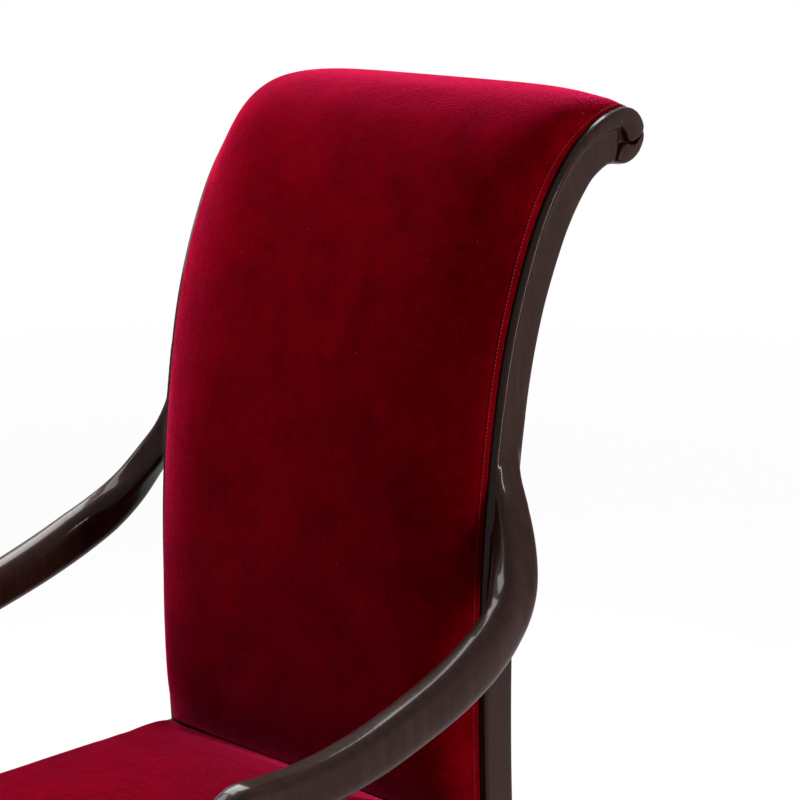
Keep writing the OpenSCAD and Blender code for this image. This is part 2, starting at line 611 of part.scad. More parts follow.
module pivot_spacer() {
    color("#d8d4c8") translate([spacer_x, pivot_y, pivot_z]) rotate([0, 90, 0]) difference() {
        cylinder(r = pin_r + spacer_wall, h = bracket_x - joint_gap - spacer_x);
        translate([0, 0, -cut]) cylinder(r = pin_r + pin_fit, h = half_back);
    }
}
module right_pivot_spacer() { pivot_spacer(); }
module left_pivot_spacer() { mirror([1, 0, 0]) pivot_spacer(); }
pin_in = 6;
pin_seat_fit = 0.01;
pin_groove_w = 1.5;
module pivot_pin() {
    color("#9aa0a6") translate([bush_in_x - pin_in, pivot_y, pivot_z]) rotate([0, 90, 0]) difference() {
        cylinder(r = pin_r, h = bracket_x + plate_t - bush_in_x + pin_in);
        translate([0, 0, pin_groove_w]) difference() {
            cylinder(r = pin_r + cut, h = pin_groove_w);
            cylinder(r = pin_r - cut, h = pin_groove_w);
        }
    }
}
module right_pivot_pin() { pivot_pin(); }
module left_pivot_pin() { mirror([1, 0, 0]) pivot_pin(); }
plate_r = 26;
lug_drop = 98;
lug_top = 66;
seat_under = pivot_z - seat_z + underboard_t;
up_buffer_h = 8;
lug_reach = 30;
lug_y = pivot_y - seat_under - soft_gap - up_buffer_h - plate_t;
lug_in_x = bracket_x - lug_reach;
screw_edge = 8;
screw_rise = 17;
screw_len = plate_t + rail_t - screw_edge;
module bracket_screw_places() {
    for (p = [[1, 1], [1, -1], [-1, 1]] * screw_rise)
        translate([bracket_x, pivot_y + p[0], pivot_z + p[1]]) rotate([0, 90, 0]) children();
}
module pivot_bracket() {
    color("#5c6166") difference() {
        union() {
            translate([bracket_x, pivot_y, pivot_z]) rotate([90, 0, 90]) linear_extrude(plate_t) union() {
                circle(r = plate_r);
                translate([lug_y - pivot_y, -lug_drop]) square([plate_r, lug_drop]);
                translate([0, -plate_r]) square([plate_r, 2 * plate_r]);
            }
            translate([lug_in_x, lug_y, pivot_z - lug_drop])
                cube([lug_reach + cut, plate_t, lug_drop - lug_top]);
        }
        translate([bracket_x - cut, pivot_y, pivot_z]) rotate([0, 90, 0])
            cylinder(r = pin_r + pin_seat_fit, h = plate_t + 2 * cut);
        bracket_screw_places() translate([0, 0, -cut]) cylinder(r = screw_r + joint_gap, h = plate_t + 2 * cut);
    }
}
module right_pivot_bracket() { pivot_bracket(); }
module left_pivot_bracket() { mirror([1, 0, 0]) pivot_bracket(); }
block_set = 2;
module pivot_block() {
    x0 = bracket_x + plate_t;
    y0 = pivot_y - block_front;
    y1 = pivot_y + block_back;
    color("#8a6238") difference() {
        translate([0, 0, rail_z + block_set]) linear_extrude(rail_h - 2 * block_set)
            polygon([[x0, y0], [rail_in_x(y0) - joint_gap, y0], [rail_in_x(y1) - joint_gap, y1], [x0, y1]]);
        bracket_screw_places() cylinder(r = screw_r, h = screw_len);
    }
}
module right_pivot_block() { pivot_block(); }
module left_pivot_block() { mirror([1, 0, 0]) pivot_block(); }
module wood_screw() {
    translate([0, 0, -screw_head_h]) cylinder(r1 = screw_head_r * 0.7, r2 = screw_head_r, h = screw_head_h);
    cylinder(r = screw_r - bush_fit, h = screw_len);
}
module bracket_screws() {
    color("#a9adb2") for (m = [0, 1]) mirror([m, 0, 0]) {
        bracket_screw_places() wood_screw();
        rest_screw_places() wood_screw();
    }
}
buffer_edge = 1;
buffer_draft = 2;
lug_mid_z = pivot_z - (lug_drop + lug_top) / 2;
lug_mid_x = lug_in_x + buffer_r + buffer_edge;
module up_buffer() {
    translate([lug_mid_x, lug_y + plate_t, lug_mid_z]) rotate([-90, 0, 0])
        cylinder(r1 = buffer_r, r2 = buffer_r - buffer_draft, h = up_buffer_h);
}
module up_stop_buffers() {
    color("#1c1c1c") {
        up_buffer();
        mirror([1, 0, 0]) up_buffer();
    }
}

// Seat rests: steel angles on the side rails, with tall rubber buffers under the front of the seat
rest_back = 34;
rest_w = 40;
rest_below = 28;
rest_rise = 34;
rest_reach = 34;
packer_t = 2;
rest_y = rail_front_y + rest_back;
rest_z = seat_z - underboard_t - rest_below;
rest_x = rail_in_x(rest_y + rest_w / 2) - plate_t - packer_t;
module rest_screw_places() {
    for (s = [-1, 1]) translate([rest_x, rest_y + s * rest_w / 4, rail_z + rest_rise - 1.5 * screw_edge])
        rotate([0, 90, 0]) children();
}
module seat_rest() {
    color("#5c6166") difference() {
        union() {
            translate([rest_x, rest_y - rest_w / 2, rest_z]) cube([plate_t, rest_w, rail_z + rest_rise - rest_z]);
            translate([rest_x - rest_reach, rest_y - rest_w / 2, rest_z]) cube([rest_reach + cut, rest_w, plate_t]);
        }
        rest_screw_places() translate([0, 0, -cut]) cylinder(r = screw_r + joint_gap, h = plate_t + 2 * cut);
    }
}
module right_seat_rest() { seat_rest(); }
module left_seat_rest() { mirror([1, 0, 0]) seat_rest(); }
module rest_packer() {
    x0 = rest_x + plate_t;
    y0 = rest_y - rest_w / 2;
    y1 = rest_y + rest_w / 2;
    color("#8a6238") difference() {
        translate([0, 0, rail_z + rail_arch_h]) linear_extrude(rest_rise - rail_arch_h)
            polygon([[x0, y0], [rail_in_x(y0) - joint_gap, y0], [rail_in_x(y1) - joint_gap, y1], [x0, y1]]);
        rest_screw_places() cylinder(r = screw_r, h = screw_len);
    }
}
module right_rest_packer() { rest_packer(); }
module left_rest_packer() { mirror([1, 0, 0]) rest_packer(); }
down_buffer_x = rest_x - rest_reach + buffer_r + buffer_edge;
module down_buffer() {
    translate([down_buffer_x, rest_y, rest_z + plate_t])
        cylinder(r1 = buffer_r, r2 = buffer_r - buffer_draft, h = rest_below - soft_gap - plate_t);
}
module down_stop_buffers() {
    color("#1c1c1c") {
        down_buffer();
        mirror([1, 0, 0]) down_buffer();
    }
}

// Floor plates under the four feet
plate_edge = 15;
module foot_plate(y, x_out, foot_y0, foot_y1) {
    x_in = bolt_dx / 2 - plate_edge;
    color("#5c6166") difference() {
        translate([x_in, min(foot_y0, y - plate_edge), 0])
            cube([x_out - x_in, max(foot_y1, y + plate_edge) - min(foot_y0, y - plate_edge), plate_t]);
        translate([bolt_dx / 2, y, -cut]) cylinder(r = bolt_r, h = plate_t + 2 * cut);
    }
}
module rear_foot_plate() {
    foot_plate(bolt_dy / 2, half_back, leg_y(plate_t), leg_y(plate_t) + foot_t);
}
module front_foot_plate() {
    y = front_leg_y - front_kick;
    foot_plate(-bolt_dy / 2, front_leg_x + front_foot_w / 2, y - front_foot_w / 2, y + front_foot_w / 2);
}
module right_rear_foot_plate() { rear_foot_plate(); }
module left_rear_foot_plate() { mirror([1, 0, 0]) rear_foot_plate(); }
module right_front_foot_plate() { front_foot_plate(); }
module left_front_foot_plate() { mirror([1, 0, 0]) front_foot_plate(); }

right_stile();
left_stile();
right_arm();
left_arm();
right_arm_post();
left_arm_post();
right_front_leg();
left_front_leg();
right_side_rail();
left_side_rail();
rear_rail();
front_stretcher();
corner_blocks();
crest_rail();
lumbar_rail();
back_bottom_rail();
back_webbing();
back_pad();
back_outer_panel();
right_pivot_block();
left_pivot_block();
right_pivot_bracket();
left_pivot_bracket();
bracket_screws();
right_pivot_pin();
left_pivot_pin();
right_pivot_spacer();
left_pivot_spacer();
up_stop_buffers();
right_seat_rest();
left_seat_rest();
right_rest_packer();
left_rest_packer();
down_stop_buffers();
right_rear_foot_plate();
left_rear_foot_plate();
right_front_foot_plate();
left_front_foot_plate();
seat_front_rail();
seat_rear_rail();
right_seat_rail();
left_seat_rail();
seat_webbing();
seat_pad();
seat_band();
seat_underboard();
right_pivot_bush();
left_pivot_bush();
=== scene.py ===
"""Looks of the scroll-back armchair: show-wood, velvet, hinge fittings, floor, lamps and camera."""

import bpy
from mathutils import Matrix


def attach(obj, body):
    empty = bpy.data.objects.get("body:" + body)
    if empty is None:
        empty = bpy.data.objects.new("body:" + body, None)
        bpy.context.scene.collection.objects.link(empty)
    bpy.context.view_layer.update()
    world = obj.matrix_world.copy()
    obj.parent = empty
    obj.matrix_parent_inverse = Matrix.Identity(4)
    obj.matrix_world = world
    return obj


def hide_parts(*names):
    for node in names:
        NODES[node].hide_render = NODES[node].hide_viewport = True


bl_info = {
    "name": "Scroll-back armchair",
    "version": (1, 0, 0),
    "blender": (4, 5, 0),
    "location": "View3D > Sidebar > Armchair",
    "description": "Makes the show-wood, velvet and fittings of a tip-up armchair",
    "category": "Object",
}

from math import copysign, cos, pi, radians, sin, sqrt

import bmesh
import bpy
import numpy as np
from mathutils import Vector

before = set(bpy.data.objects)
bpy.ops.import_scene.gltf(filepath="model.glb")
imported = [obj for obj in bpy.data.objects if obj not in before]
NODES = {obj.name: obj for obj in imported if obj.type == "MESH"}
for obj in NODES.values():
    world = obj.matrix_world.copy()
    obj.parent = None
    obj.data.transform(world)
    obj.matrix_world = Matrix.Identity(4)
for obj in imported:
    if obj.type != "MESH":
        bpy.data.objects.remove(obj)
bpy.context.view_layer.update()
MM = 0.001

# Sizes of the chair's frame, in millimetres
HALF_BACK = 256.0
STILE_W = 36.0
STILE_X = HALF_BACK - STILE_W / 2
UPRIGHT_Y, UPRIGHT_Z = 169.0, 600.0
LEG_R = 2980.0
LEG_W = 36.0
PLATE_T = 4.0
RAIL_TOP = 398.0
# Inner face of the side rail: its x at the stile, how far it flares, and the y of its front end
RAIL_START, RAIL_FLARE, RAIL_FRONT_Y = HALF_BACK - STILE_W + 4, 32.0, -244.0
PIVOT_Y, PIVOT_Z = 20.0, 366.0
PIN_HOLE_R = 24.0
SEAT_GAP = 15.5
SEAT_TAIL, SEAT_NOSE = 127.0, 330.0
SEAT_REAR, SEAT_FRONT = PIVOT_Y + SEAT_TAIL, PIVOT_Y - SEAT_NOSE
SEAT_Z = 335.0
PAD_FLOOR_Z = 388.4
PAD_EDGE_H, PAD_CROWN = 44.0, 20.0
# Front edge of the stile above the seat: radius and turn of each arc, with the scroll last
BACK_RADII = (1610.0, 624.0, 290.0, 180.0, 150.0, 30.5)
BACK_TURNS = (10.0, 16.0, 17.0, 22.0, 17.0, 210.0)
# Turn of the wood where the outside back tucks in under the scroll
THROAT = 70.5
# Rows of the spine's table: those of the leg, and those along which the height still rises
LEG_ROWS = int(UPRIGHT_Z - PLATE_T)
RISING_ROWS = LEG_ROWS + 264


# ---------------------------------------------------------------- small helpers
def linear(code):
    """sRGB hex colour as linear red, green and blue."""
    parts = [int(code[i:i + 2], 16) / 255 for i in (1, 3, 5)]
    return tuple(c / 12.92 if c <= 0.04045 else ((c + 0.055) / 1.055) ** 2.4 for c in parts)


def smooth_step(x):
    x = np.clip(x, 0, 1)
    return x * x * (3 - 2 * x)


def heading(i):
    return sum(BACK_TURNS[:i])


def leg_y(z):
    return UPRIGHT_Y + LEG_R - sqrt(LEG_R ** 2 - (UPRIGHT_Z - z) ** 2)


def back_point(a):
    """Point on the stile's front edge where the wood has turned a degrees from upright."""
    y, z, start = UPRIGHT_Y, UPRIGHT_Z, 0.0
    for r, turn in zip(BACK_RADII, BACK_TURNS):
        t = min(a - start, turn)
        p, q = radians(start), radians(start + t)
        y, z = y + r * (cos(p) - cos(q)), z + r * (sin(q) - sin(p))
        start += turn
        if a <= start:
            break
    return y, z, a


def spine_table():
    rows = [(leg_y(z), z, 0.0) for z in np.arange(PLATE_T, UPRIGHT_Z, 1.0)]
    rows += [back_point(a) for a in np.arange(0, heading(6) + 0.01, 0.25)]
    rows = np.array(rows)
    step = np.hypot(np.diff(rows[:, 0]), np.diff(rows[:, 1]))
    return np.concatenate([[0], np.cumsum(step)]), rows


SPINE_S, SPINE = spine_table()


def s_at_z(z):
    return float(np.interp(z, SPINE[:LEG_ROWS, 1], SPINE_S[:LEG_ROWS]))


def s_at_turn(a):
    return float(np.interp(a, SPINE[LEG_ROWS:, 2], SPINE_S[LEG_ROWS:]))


def on_spine(s, depth):
    """y and z at arc length s along the front edge, depth inside the wood."""
    a = np.radians(np.interp(s, SPINE_S, SPINE[:, 2]))
    y, z = np.interp(s, SPINE_S, SPINE[:, 0]), np.interp(s, SPINE_S, SPINE[:, 1])
    return y + depth * np.cos(a), z - depth * np.sin(a)


def look_up(table, x, column=1):
    """Value between the rows of a table whose first column holds the places."""
    return np.interp(x, [r[0] for r in table], [r[column] for r in table])


# Depth of the stile along its line
DEPTHS = [(s_at_z(PLATE_T), 34), (s_at_z(332), 44), (s_at_turn(0), 46), (s_at_turn(8), 42.5),
          (s_at_turn(20), 43), (s_at_turn(34), 46), (s_at_turn(51), 48), (s_at_turn(67), 52.5),
          (s_at_turn(THROAT), 54)]


def stile_depth(s):
    return float(look_up(DEPTHS, s))


def seat_half(y):
    rear = leg_y(RAIL_TOP)
    return RAIL_START + RAIL_FLARE * (rear - y) / (rear - RAIL_FRONT_Y) - SEAT_GAP


def both(*names):
    """The names of the right and the left piece of each pair."""
    return [side + name for name in names for side in ("right_", "left_")]


def new_object(name, points, faces, unit=MM):
    mesh = bpy.data.meshes.new(name)
    points = (np.asarray(points, float) * unit).tolist()
    mesh.from_pydata(points, [], [tuple(int(i) for i in f) for f in faces])
    return linked(name, mesh)


def linked(name, data):
    obj = bpy.data.objects.new(name, data)
    bpy.context.scene.collection.objects.link(obj)
    return obj


def tidy_mesh(obj, merge=0.02):
    """Merges doubles and turns every face outwards."""
    work = bmesh.new()
    work.from_mesh(obj.data)
    bmesh.ops.remove_doubles(work, verts=work.verts, dist=merge * MM)
    bmesh.ops.recalc_face_normals(work, faces=work.faces)
    work.to_mesh(obj.data)
    work.free()
    return obj


def shade(obj, angle=None):
    obj.data.shade_smooth()
    if angle is not None:
        obj.data.set_sharp_from_angle(angle=radians(angle))
    return obj


def baked(obj, kind=None, **settings):
    """Applies an object's modifiers to its mesh, with one more where its kind is given."""
    if kind:
        mod = obj.modifiers.new(kind.title(), kind)
        for key, value in settings.items():
            setattr(mod, key, value)
    bpy.context.view_layer.update()
    deps = bpy.context.evaluated_depsgraph_get()
    mesh = bpy.data.meshes.new_from_object(obj.evaluated_get(deps), depsgraph=deps)
    obj.modifiers.clear()
    obj.data = mesh
    return obj


def grid_faces(rows, cols, wrap=False):
    last = cols if wrap else cols - 1
    cells = [(i * cols, j, (j + 1) % cols) for i in range(rows - 1) for j in range(last)]
    return [(base + j, base + k, base + cols + k, base + cols + j) for base, j, k in cells]


def skin(rings):
    """Closed skin through rings of equal count, with both ends capped."""
    rows, cols = len(rings), len(rings[0])
    faces = grid_faces(rows, cols, wrap=True)
    faces.append(tuple(range(cols - 1, -1, -1)))
    faces.append(tuple((rows - 1) * cols + j for j in range(cols)))
    return np.concatenate([np.asarray(r, float) for r in rings]), faces


def joined(parts):
    """One list of points and faces out of several."""
    points, faces, base = [], [], 0
    for p, f in parts:
        points.append(np.asarray(p, float))
        faces += [tuple(i + base for i in face) for face in f]
        base += len(p)
    return np.concatenate(points), faces


def corner_arc(mid, r, start, steps=8):
    """Quarter of a circle from an angle in degrees."""
    turns = [radians(start + 90 * k / steps) for k in range(steps + 1)]
    return [(mid[0] + r * cos(g), mid[1] + r * sin(g)) for g in turns]


def points_of(mesh):
    co = np.empty(len(mesh.vertices) * 3)
    mesh.vertices.foreach_get("co", co)
    return co.reshape(-1, 3)


def coords(obj):
    return points_of(obj.data)


def set_coords(obj, co):
    obj.data.vertices.foreach_set("co", np.asarray(co, float).ravel())
    obj.data.update()


def dress(obj, body, finish, replaces=()):
    """Gives a finished piece its material and its body, and hides the nodes it stands for."""
    obj.data.materials.clear()
    obj.data.materials.append(MATERIALS[finish])
    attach(obj, body)
    if replaces:
        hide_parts(*replaces)
    return obj


def fill_with_foam(obj, held, pressure, cap, frames=20):
    """Swells a closed cover with cloth pressure; held points stay, the rest move cap at most."""
    start = coords(obj)
    group = obj.vertex_groups.new(name="held")
    group.add([int(i) for i in np.flatnonzero(held)], 1.0, "REPLACE")
    mod = obj.modifiers.new("filling", "CLOTH")
    cloth = mod.settings
    cloth.quality = 5
    cloth.mass = 0.3
    cloth.tension_stiffness = cloth.compression_stiffness = 12
    cloth.shear_stiffness = 5
    cloth.bending_stiffness = 2
    cloth.use_pressure = True
    cloth.uniform_pressure_force = pressure
    cloth.effector_weights.gravity = 0
    cloth.vertex_group_mass = "held"
    mod.collision_settings.use_collision = False
    mod.point_cache.frame_start, mod.point_cache.frame_end = 1, frames
    scene = bpy.context.scene
    for frame in range(1, frames + 1):
        scene.frame_set(frame)
    deps = bpy.context.evaluated_depsgraph_get()
    move = points_of(obj.evaluated_get(deps).to_mesh()) - start
    obj.evaluated_get(deps).to_mesh_clear()
    obj.modifiers.remove(mod)
    obj.vertex_groups.remove(group)
    scene.frame_set(1)
    scale = np.minimum(1, cap * MM / np.maximum(np.linalg.norm(move, axis=1), 1e-9))
    set_coords(obj, start + move * scale[:, None])
    return obj


def ease(obj, amount=0.5, rounds=8, mask=None):
    """Smooths a mesh a little, by a mask from 0 to 1 where one is given."""
    edges = np.empty(len(obj.data.edges) * 2, int)
    obj.data.edges.foreach_get("vertices", edges)
    one, two = edges.reshape(-1, 2).T
    co = coords(obj)
    count = np.bincount(edges, minlength=len(co))[:, None]
    weight = amount if mask is None else amount * mask[:, None]
    for _ in range(rounds):
        total = np.stack([np.bincount(one, at_two, len(co)) + np.bincount(two, at_one, len(co))
                          for at_two, at_one in zip(co[two].T, co[one].T)], 1)
        co = co + (total / np.maximum(count, 1) - co) * weight
    set_coords(obj, co)
    return obj


def rounded_off(obj):
    """One round of subdivision, baked, with smooth shading."""
    return shade(baked(obj, "SUBSURF", levels=1, render_levels=1))


# ---------------------------------------------------------------- materials
WHITE = (1, 1, 1, 1)


def rgba(code):
    return (*linear(code), 1)


def add(tree, kind, inputs=None, **settings):
    """Adds a node; an input given as a node or socket is linked, any other value is set."""
    item = tree.nodes.new(kind)
    for key, value in settings.items():
        setattr(item, key, value)
    for key, value in (inputs or {}).items():
        if isinstance(value, bpy.types.Node):
            value = next(socket for socket in value.outputs if socket.enabled)
        if isinstance(value, bpy.types.NodeSocket):
            tree.links.new(value, item.inputs[key])
        else:
            item.inputs[key].default_value = value
    return item


def shader(tree, kind, inputs=None, **settings):
    return add(tree, "ShaderNode" + kind, inputs, **settings)


def maths(tree, operation, a, b):
    return shader(tree, "Math", {0: a, 1: b}, operation=operation)


def noise(tree, place, scale, detail=2.0, **rest):
    return shader(tree, "TexNoise", {"Vector": place, "Scale": scale, "Detail": detail, **rest})


def bump(tree, height, strength, distance, **rest):
    inputs = {"Height": height, "Strength": strength, "Distance": distance, **rest}
    return shader(tree, "Bump", inputs)


def ramp(tree, share, *stops):
    """Colour ramp through pairs of place and hex colour."""
    item = shader(tree, "ValToRGB", {"Fac": share})
    for element, (place, code) in zip(item.color_ramp.elements, stops):
        element.position = place
        element.color = rgba(code)
    return item


def blank_material(name):
    """A material with an empty tree, and the place on the object to draw its patterns by."""
    mat = bpy.data.materials.new(name)
    mat.use_nodes = True
    mat.node_tree.nodes.clear()
    return mat, mat.node_tree, shader(mat.node_tree, "TexCoord").outputs["Object"]


def finished(mat, inputs):
    """Ends a material's tree with its surface."""
    body = shader(mat.node_tree, "BsdfPrincipled", inputs)
    shader(mat.node_tree, "OutputMaterial", {"Surface": body})
    return mat


def velvet(name, deep, lit, sheen_tint):
    """Crimson upholstery velvet: a short upright pile, dark looked into and pink at a slant."""
    mat, tree, place = blank_material(name)
    # Hand-stroked patches of the nap, about 60 mm across, and finer mottling, 8 mm across
    patch = noise(tree, place, 17.0, 5.0, Roughness=0.62)
    mottle = noise(tree, place, 120.0, 3.0)
    blend = shader(tree, "Mix", {"A": patch, "B": mottle, "Factor": 0.28})
    tone = ramp(tree, blend, (0.3, deep), (0.72, lit))
    # Pile tips at 1.8 mm, drawn coarser than the real 0.3 mm so that they show
    tips = noise(tree, place, 560.0, 3.0)
    # A few specks of lint, 1 mm across
    specks = shader(tree, "TexVoronoi", {"Vector": place, "Scale": 55.0})
    lint = maths(tree, "LESS_THAN", specks, 0.045)
    cell = shader(tree, "SeparateColor", {"Color": specks.outputs["Color"]})
    fleck = maths(tree, "MULTIPLY", lint, maths(tree, "GREATER_THAN", cell, 0.93))
    dim = maths(tree, "MULTIPLY", fleck, 0.3)
    dusted = shader(tree, "Mix", {"Factor": dim, "A": tone, "B": rgba("#D86A80")},
                    data_type="RGBA")
    pile = bump(tree, tips, 0.9, 0.0012)
    nap = bump(tree, patch, 0.5, 0.004, Normal=pile)
    return finished(mat, {"Base Color": dusted, "Normal": nap, "Roughness": 0.92,
                          "Specular IOR Level": 0.0, "Sheen Weight": 1.0,
                          "Sheen Roughness": 0.32, "Sheen Tint": rgba(sheen_tint)})


def wood(name, dark, light, roughness, coat, specular=0.4, grain_axis=(1.0, 1.0, 0.07)):
    """Straight-grained timber; a lacquer coat gives it a soft shine over the pores."""
    mat, tree, place = blank_material(name)
    along = shader(tree, "Mapping", {"Vector": place, "Scale": grain_axis})
    # Growth figure 12 mm wide and pores 0.8 mm wide, both drawn out along the grain
    figure = noise(tree, along, 85.0, 6.0, Roughness=0.6, Distortion=0.6)
    pores = noise(tree, along, 900.0)
    mix = shader(tree, "Mix", {"A": figure, "B": pores, "Factor": 0.3})
    tone = ramp(tree, mix, (0.35, dark), (0.68, light))
    return finished(mat, {"Base Color": tone, "Normal": bump(tree, pores, 0.12, 0.0003),
                          "Roughness": roughness, "IOR": 1.5, "Specular IOR Level": specular,
                          "Coat Weight": coat, "Coat Roughness": 0.1})


def metal(name, code, roughness, lines):
    """Bare turned or brushed metal: a mirror blurred along faint tool lines."""
    mat, tree, place = blank_material(name)
    along = shader(tree, "Mapping", {"Vector": place, "Scale": (1.0, 0.08, 0.08)})
    # Tool marks 0.4 mm apart, drawn at 1 mm
    marks = noise(tree, along, 1000.0)
    shine = shader(tree, "MapRange", {"Value": marks, "To Min": roughness - 0.06,
                                      "To Max": roughness + 0.1})
    return finished(mat, {"Roughness": shine, "Normal": bump(tree, marks, lines, 0.0002),
                          "Base Color": rgba(code), "Metallic": 1.0})


def coating(name, code, worn, roughness, grit):
    """Paint, nylon or rubber: an even skin with a slight grain and paler rubbed patches."""
    mat, tree, place = blank_material(name)
    rub = noise(tree, place, 60.0, 6.0, Roughness=0.7)
    tone = ramp(tree, rub, (0.45, code), (0.8, worn))
    # Orange peel of the skin, 1.4 mm
    peel = noise(tree, place, 700.0)
    return finished(mat, {"Base Color": tone, "Normal": bump(tree, peel, grit, 0.0003),
                          "Roughness": roughness})


def jute(name):
    """Woven jute webbing: dull straw threads, warp and weft 2 mm apart, with dark gaps."""
    mat, tree, place = blank_material(name)
    warp, weft = (shader(tree, "TexWave", {"Vector": place, "Scale": 160.0, "Distortion": 0.6},
                         bands_direction=way) for way in ("X", "DIAGONAL"))
    weave = maths(tree, "MULTIPLY", warp.outputs["Fac"], weft.outputs["Fac"])
    tone = ramp(tree, weave, (0.1, "#6E5636"), (0.8, "#B99A68"))
    return finished(mat, {"Base Color": tone, "Normal": bump(tree, weave, 0.6, 0.0006),
                          "Roughness": 0.9})


MATERIALS = {}


def make_materials():
    MATERIALS.update(
        velvet=velvet("crimson_velvet", "#4A0003", "#720009", "#FF2E68"),
        mahogany=wood("lacquered_mahogany", "#1B0C09", "#301811", 0.34, 0.19, 0.03),
        beech=wood("planed_beech", "#9A7247", "#C79C68", 0.62, 0.0),
        plywood=wood("stained_plywood", "#23130F", "#3B231B", 0.6, 0.0, 0.4, (0.08, 1.0, 1.0)),
        webbing=jute("jute_webbing"),
        enamel=coating("black_stoved_enamel", "#141313", "#2C2A29", 0.38, 0.25),
        steel=metal("turned_steel", "#B9BBBD", 0.24, 0.2),
        bronze=metal("bearing_bronze", "#B98A4A", 0.32, 0.2),
        nylon=coating("natural_nylon", "#D9D3C2", "#E8E3D6", 0.45, 0.1),
        rubber=coating("moulded_rubber", "#101010", "#1E1D1D", 0.72, 0.4),
        thread=coating("crimson_thread", "#740A22", "#A01C3A", 0.5, 0.3),
    )


# ---------------------------------------------------------------- sizes and colours
def length(name, description, default, low, high):
    return bpy.props.FloatProperty(name=name, description=description, default=default,
                                   min=low, max=high, unit="LENGTH")


class ArmchairSizes(bpy.types.PropertyGroup):
    carve_step: length("Carving step", "Grain of the carved wood's mesh", 0.0015, 0.0012, 0.006)
    back_crown: length("Back crown", "Rise of the back pad at its fullest", 0.036, 0.02, 0.045)
    stitch_pitch: length("Stitch pitch", "Distance from stitch to stitch", 0.0042, 0.002, 0.01)
    stitch_length: length("Stitch length", "Length of one stitch", 0.003, 0.001, 0.008)
    welt_radius: length("Welt", "Radius of the covered cord at the seams", 0.0032, 0.002, 0.005)


class ArmchairColours(bpy.types.PropertyGroup):
    floor: bpy.props.FloatVectorProperty(name="Floor", description="Colour of the floor",
                                         subtype="COLOR", size=3, default=linear("#F2F2F2"))


def sizes():
    return bpy.context.scene.armchair_sizes


# ---------------------------------------------------------------- stage
# Name, place, target, width and height in metres, and power in watts of each lamp
LAMPS = (("top_lamp", (-1.15, 0.82, 1.95), (0.0, 0.35, 1.1), 1.2, 1.2, 74),
         ("left_lamp", (-0.9, -0.25, 1.45), (0.0, 0.2, 0.85), 0.5, 0.7, 13.5),
         ("right_lamp", (2.25, 0.5, 1.05), (0.25, 0.2, 0.9), 0.17, 1.8, 50))
CAMERA_PLACE, CAMERA_LOOK = (1.6863, -1.5567, 1.4274), (-0.65037, 0.72231, -0.23514)
FOCAL_PIXELS, PICTURE_PIXELS, SENSOR = 2231.0, 800, 36.0
FLOOR_HALF, FLOOR_LINES = 60, 13
# Distances in metres between which the floor turns plain white, and how white it is up to there
FLOOR_NEAR, FLOOR_FAR, FLOOR_WHITE = 1.2, 5.0, 0.94
SKY_LIGHT = 0.14


def placed(name, data, place, look):
    """Puts a lamp or a camera in the scene, looking along a direction."""
    obj = linked(name, data)
    obj.location = place
    obj.rotation_euler = look.to_track_quat("-Z", "Y").to_euler()
    return obj


def seen_share(tree):
    """1 for a ray from the camera, straight, off a gloss or through glass, and 0 for the rest."""
    path = shader(tree, "LightPath").outputs
    seen = maths(tree, "MAXIMUM", path["Is Camera Ray"], path["Is Glossy Ray"])
    return maths(tree, "MAXIMUM", seen, path["Is Transmission Ray"])


class ARMCHAIR_OT_stage(bpy.types.Operator):
    """Lays the floor and sets the lamps and the camera"""
    bl_idname = "armchair.stage"
    bl_label = "Stage"

    def execute(self, context):
        scene = context.scene
        scene.view_settings.view_transform = "Standard"
        make_materials()
        self.floor(context)
        self.sky(scene)
        for name, place, target, width, height, power in LAMPS:
            light = bpy.data.lights.new(name, "AREA")
            light.shape = "RECTANGLE"
            light.size, light.size_y = width, height
            light.energy = power
            placed(name, light, place, Vector(target) - Vector(place))
        data = bpy.data.cameras.new("camera")
        data.sensor_width = SENSOR
        data.lens = FOCAL_PIXELS / PICTURE_PIXELS * SENSOR
        data.clip_end = 50
        scene.camera = placed("camera", data, CAMERA_PLACE, Vector(CAMERA_LOOK))
        return {"FINISHED"}

    def floor(self, context):
        line = np.linspace(-FLOOR_HALF, FLOOR_HALF, FLOOR_LINES)
        points = [(x, y, 0.0) for y in line for x in line]
        obj = new_object("studio_floor", points, grid_faces(FLOOR_LINES, FLOOR_LINES), unit=1.0)
        mat, tree, place = blank_material("pale_floor")
        grain = bump(tree, noise(tree, place, 400.0), 0.05, 0.0005)
        colour = (*context.scene.armchair_colours.floor, 1)
        matt = shader(tree, "BsdfDiffuse", {"Normal": grain, "Color": colour})
        white = shader(tree, "Emission", {"Color": WHITE, "Strength": 1.0})
        # The floor keeps the shadow near the chair and runs out to plain white
        far = shader(tree, "VectorMath", {0: place}, operation="LENGTH").outputs["Value"]
        white_share = shader(tree, "MapRange", {"Value": far, "From Min": FLOOR_NEAR,
                                                "From Max": FLOOR_FAR, "To Min": FLOOR_WHITE})
        share = maths(tree, "MULTIPLY", seen_share(tree), white_share)
        mix = shader(tree, "MixShader", {0: share, 1: matt, 2: white})
        shader(tree, "OutputMaterial", {"Surface": mix})
        obj.data.materials.append(mat)

    def sky(self, scene):
        world = bpy.data.worlds.new("studio")
        scene.world = world
        world.use_nodes = True
        tree = world.node_tree
        tree.nodes.clear()
        soft, plain = (shader(tree, "Background", {"Color": WHITE, "Strength": strength})
                       for strength in (SKY_LIGHT, 1.0))
        mix = shader(tree, "MixShader", {0: seen_share(tree), 1: soft, 2: plain})
        shader(tree, "OutputWorld", {"Surface": mix})


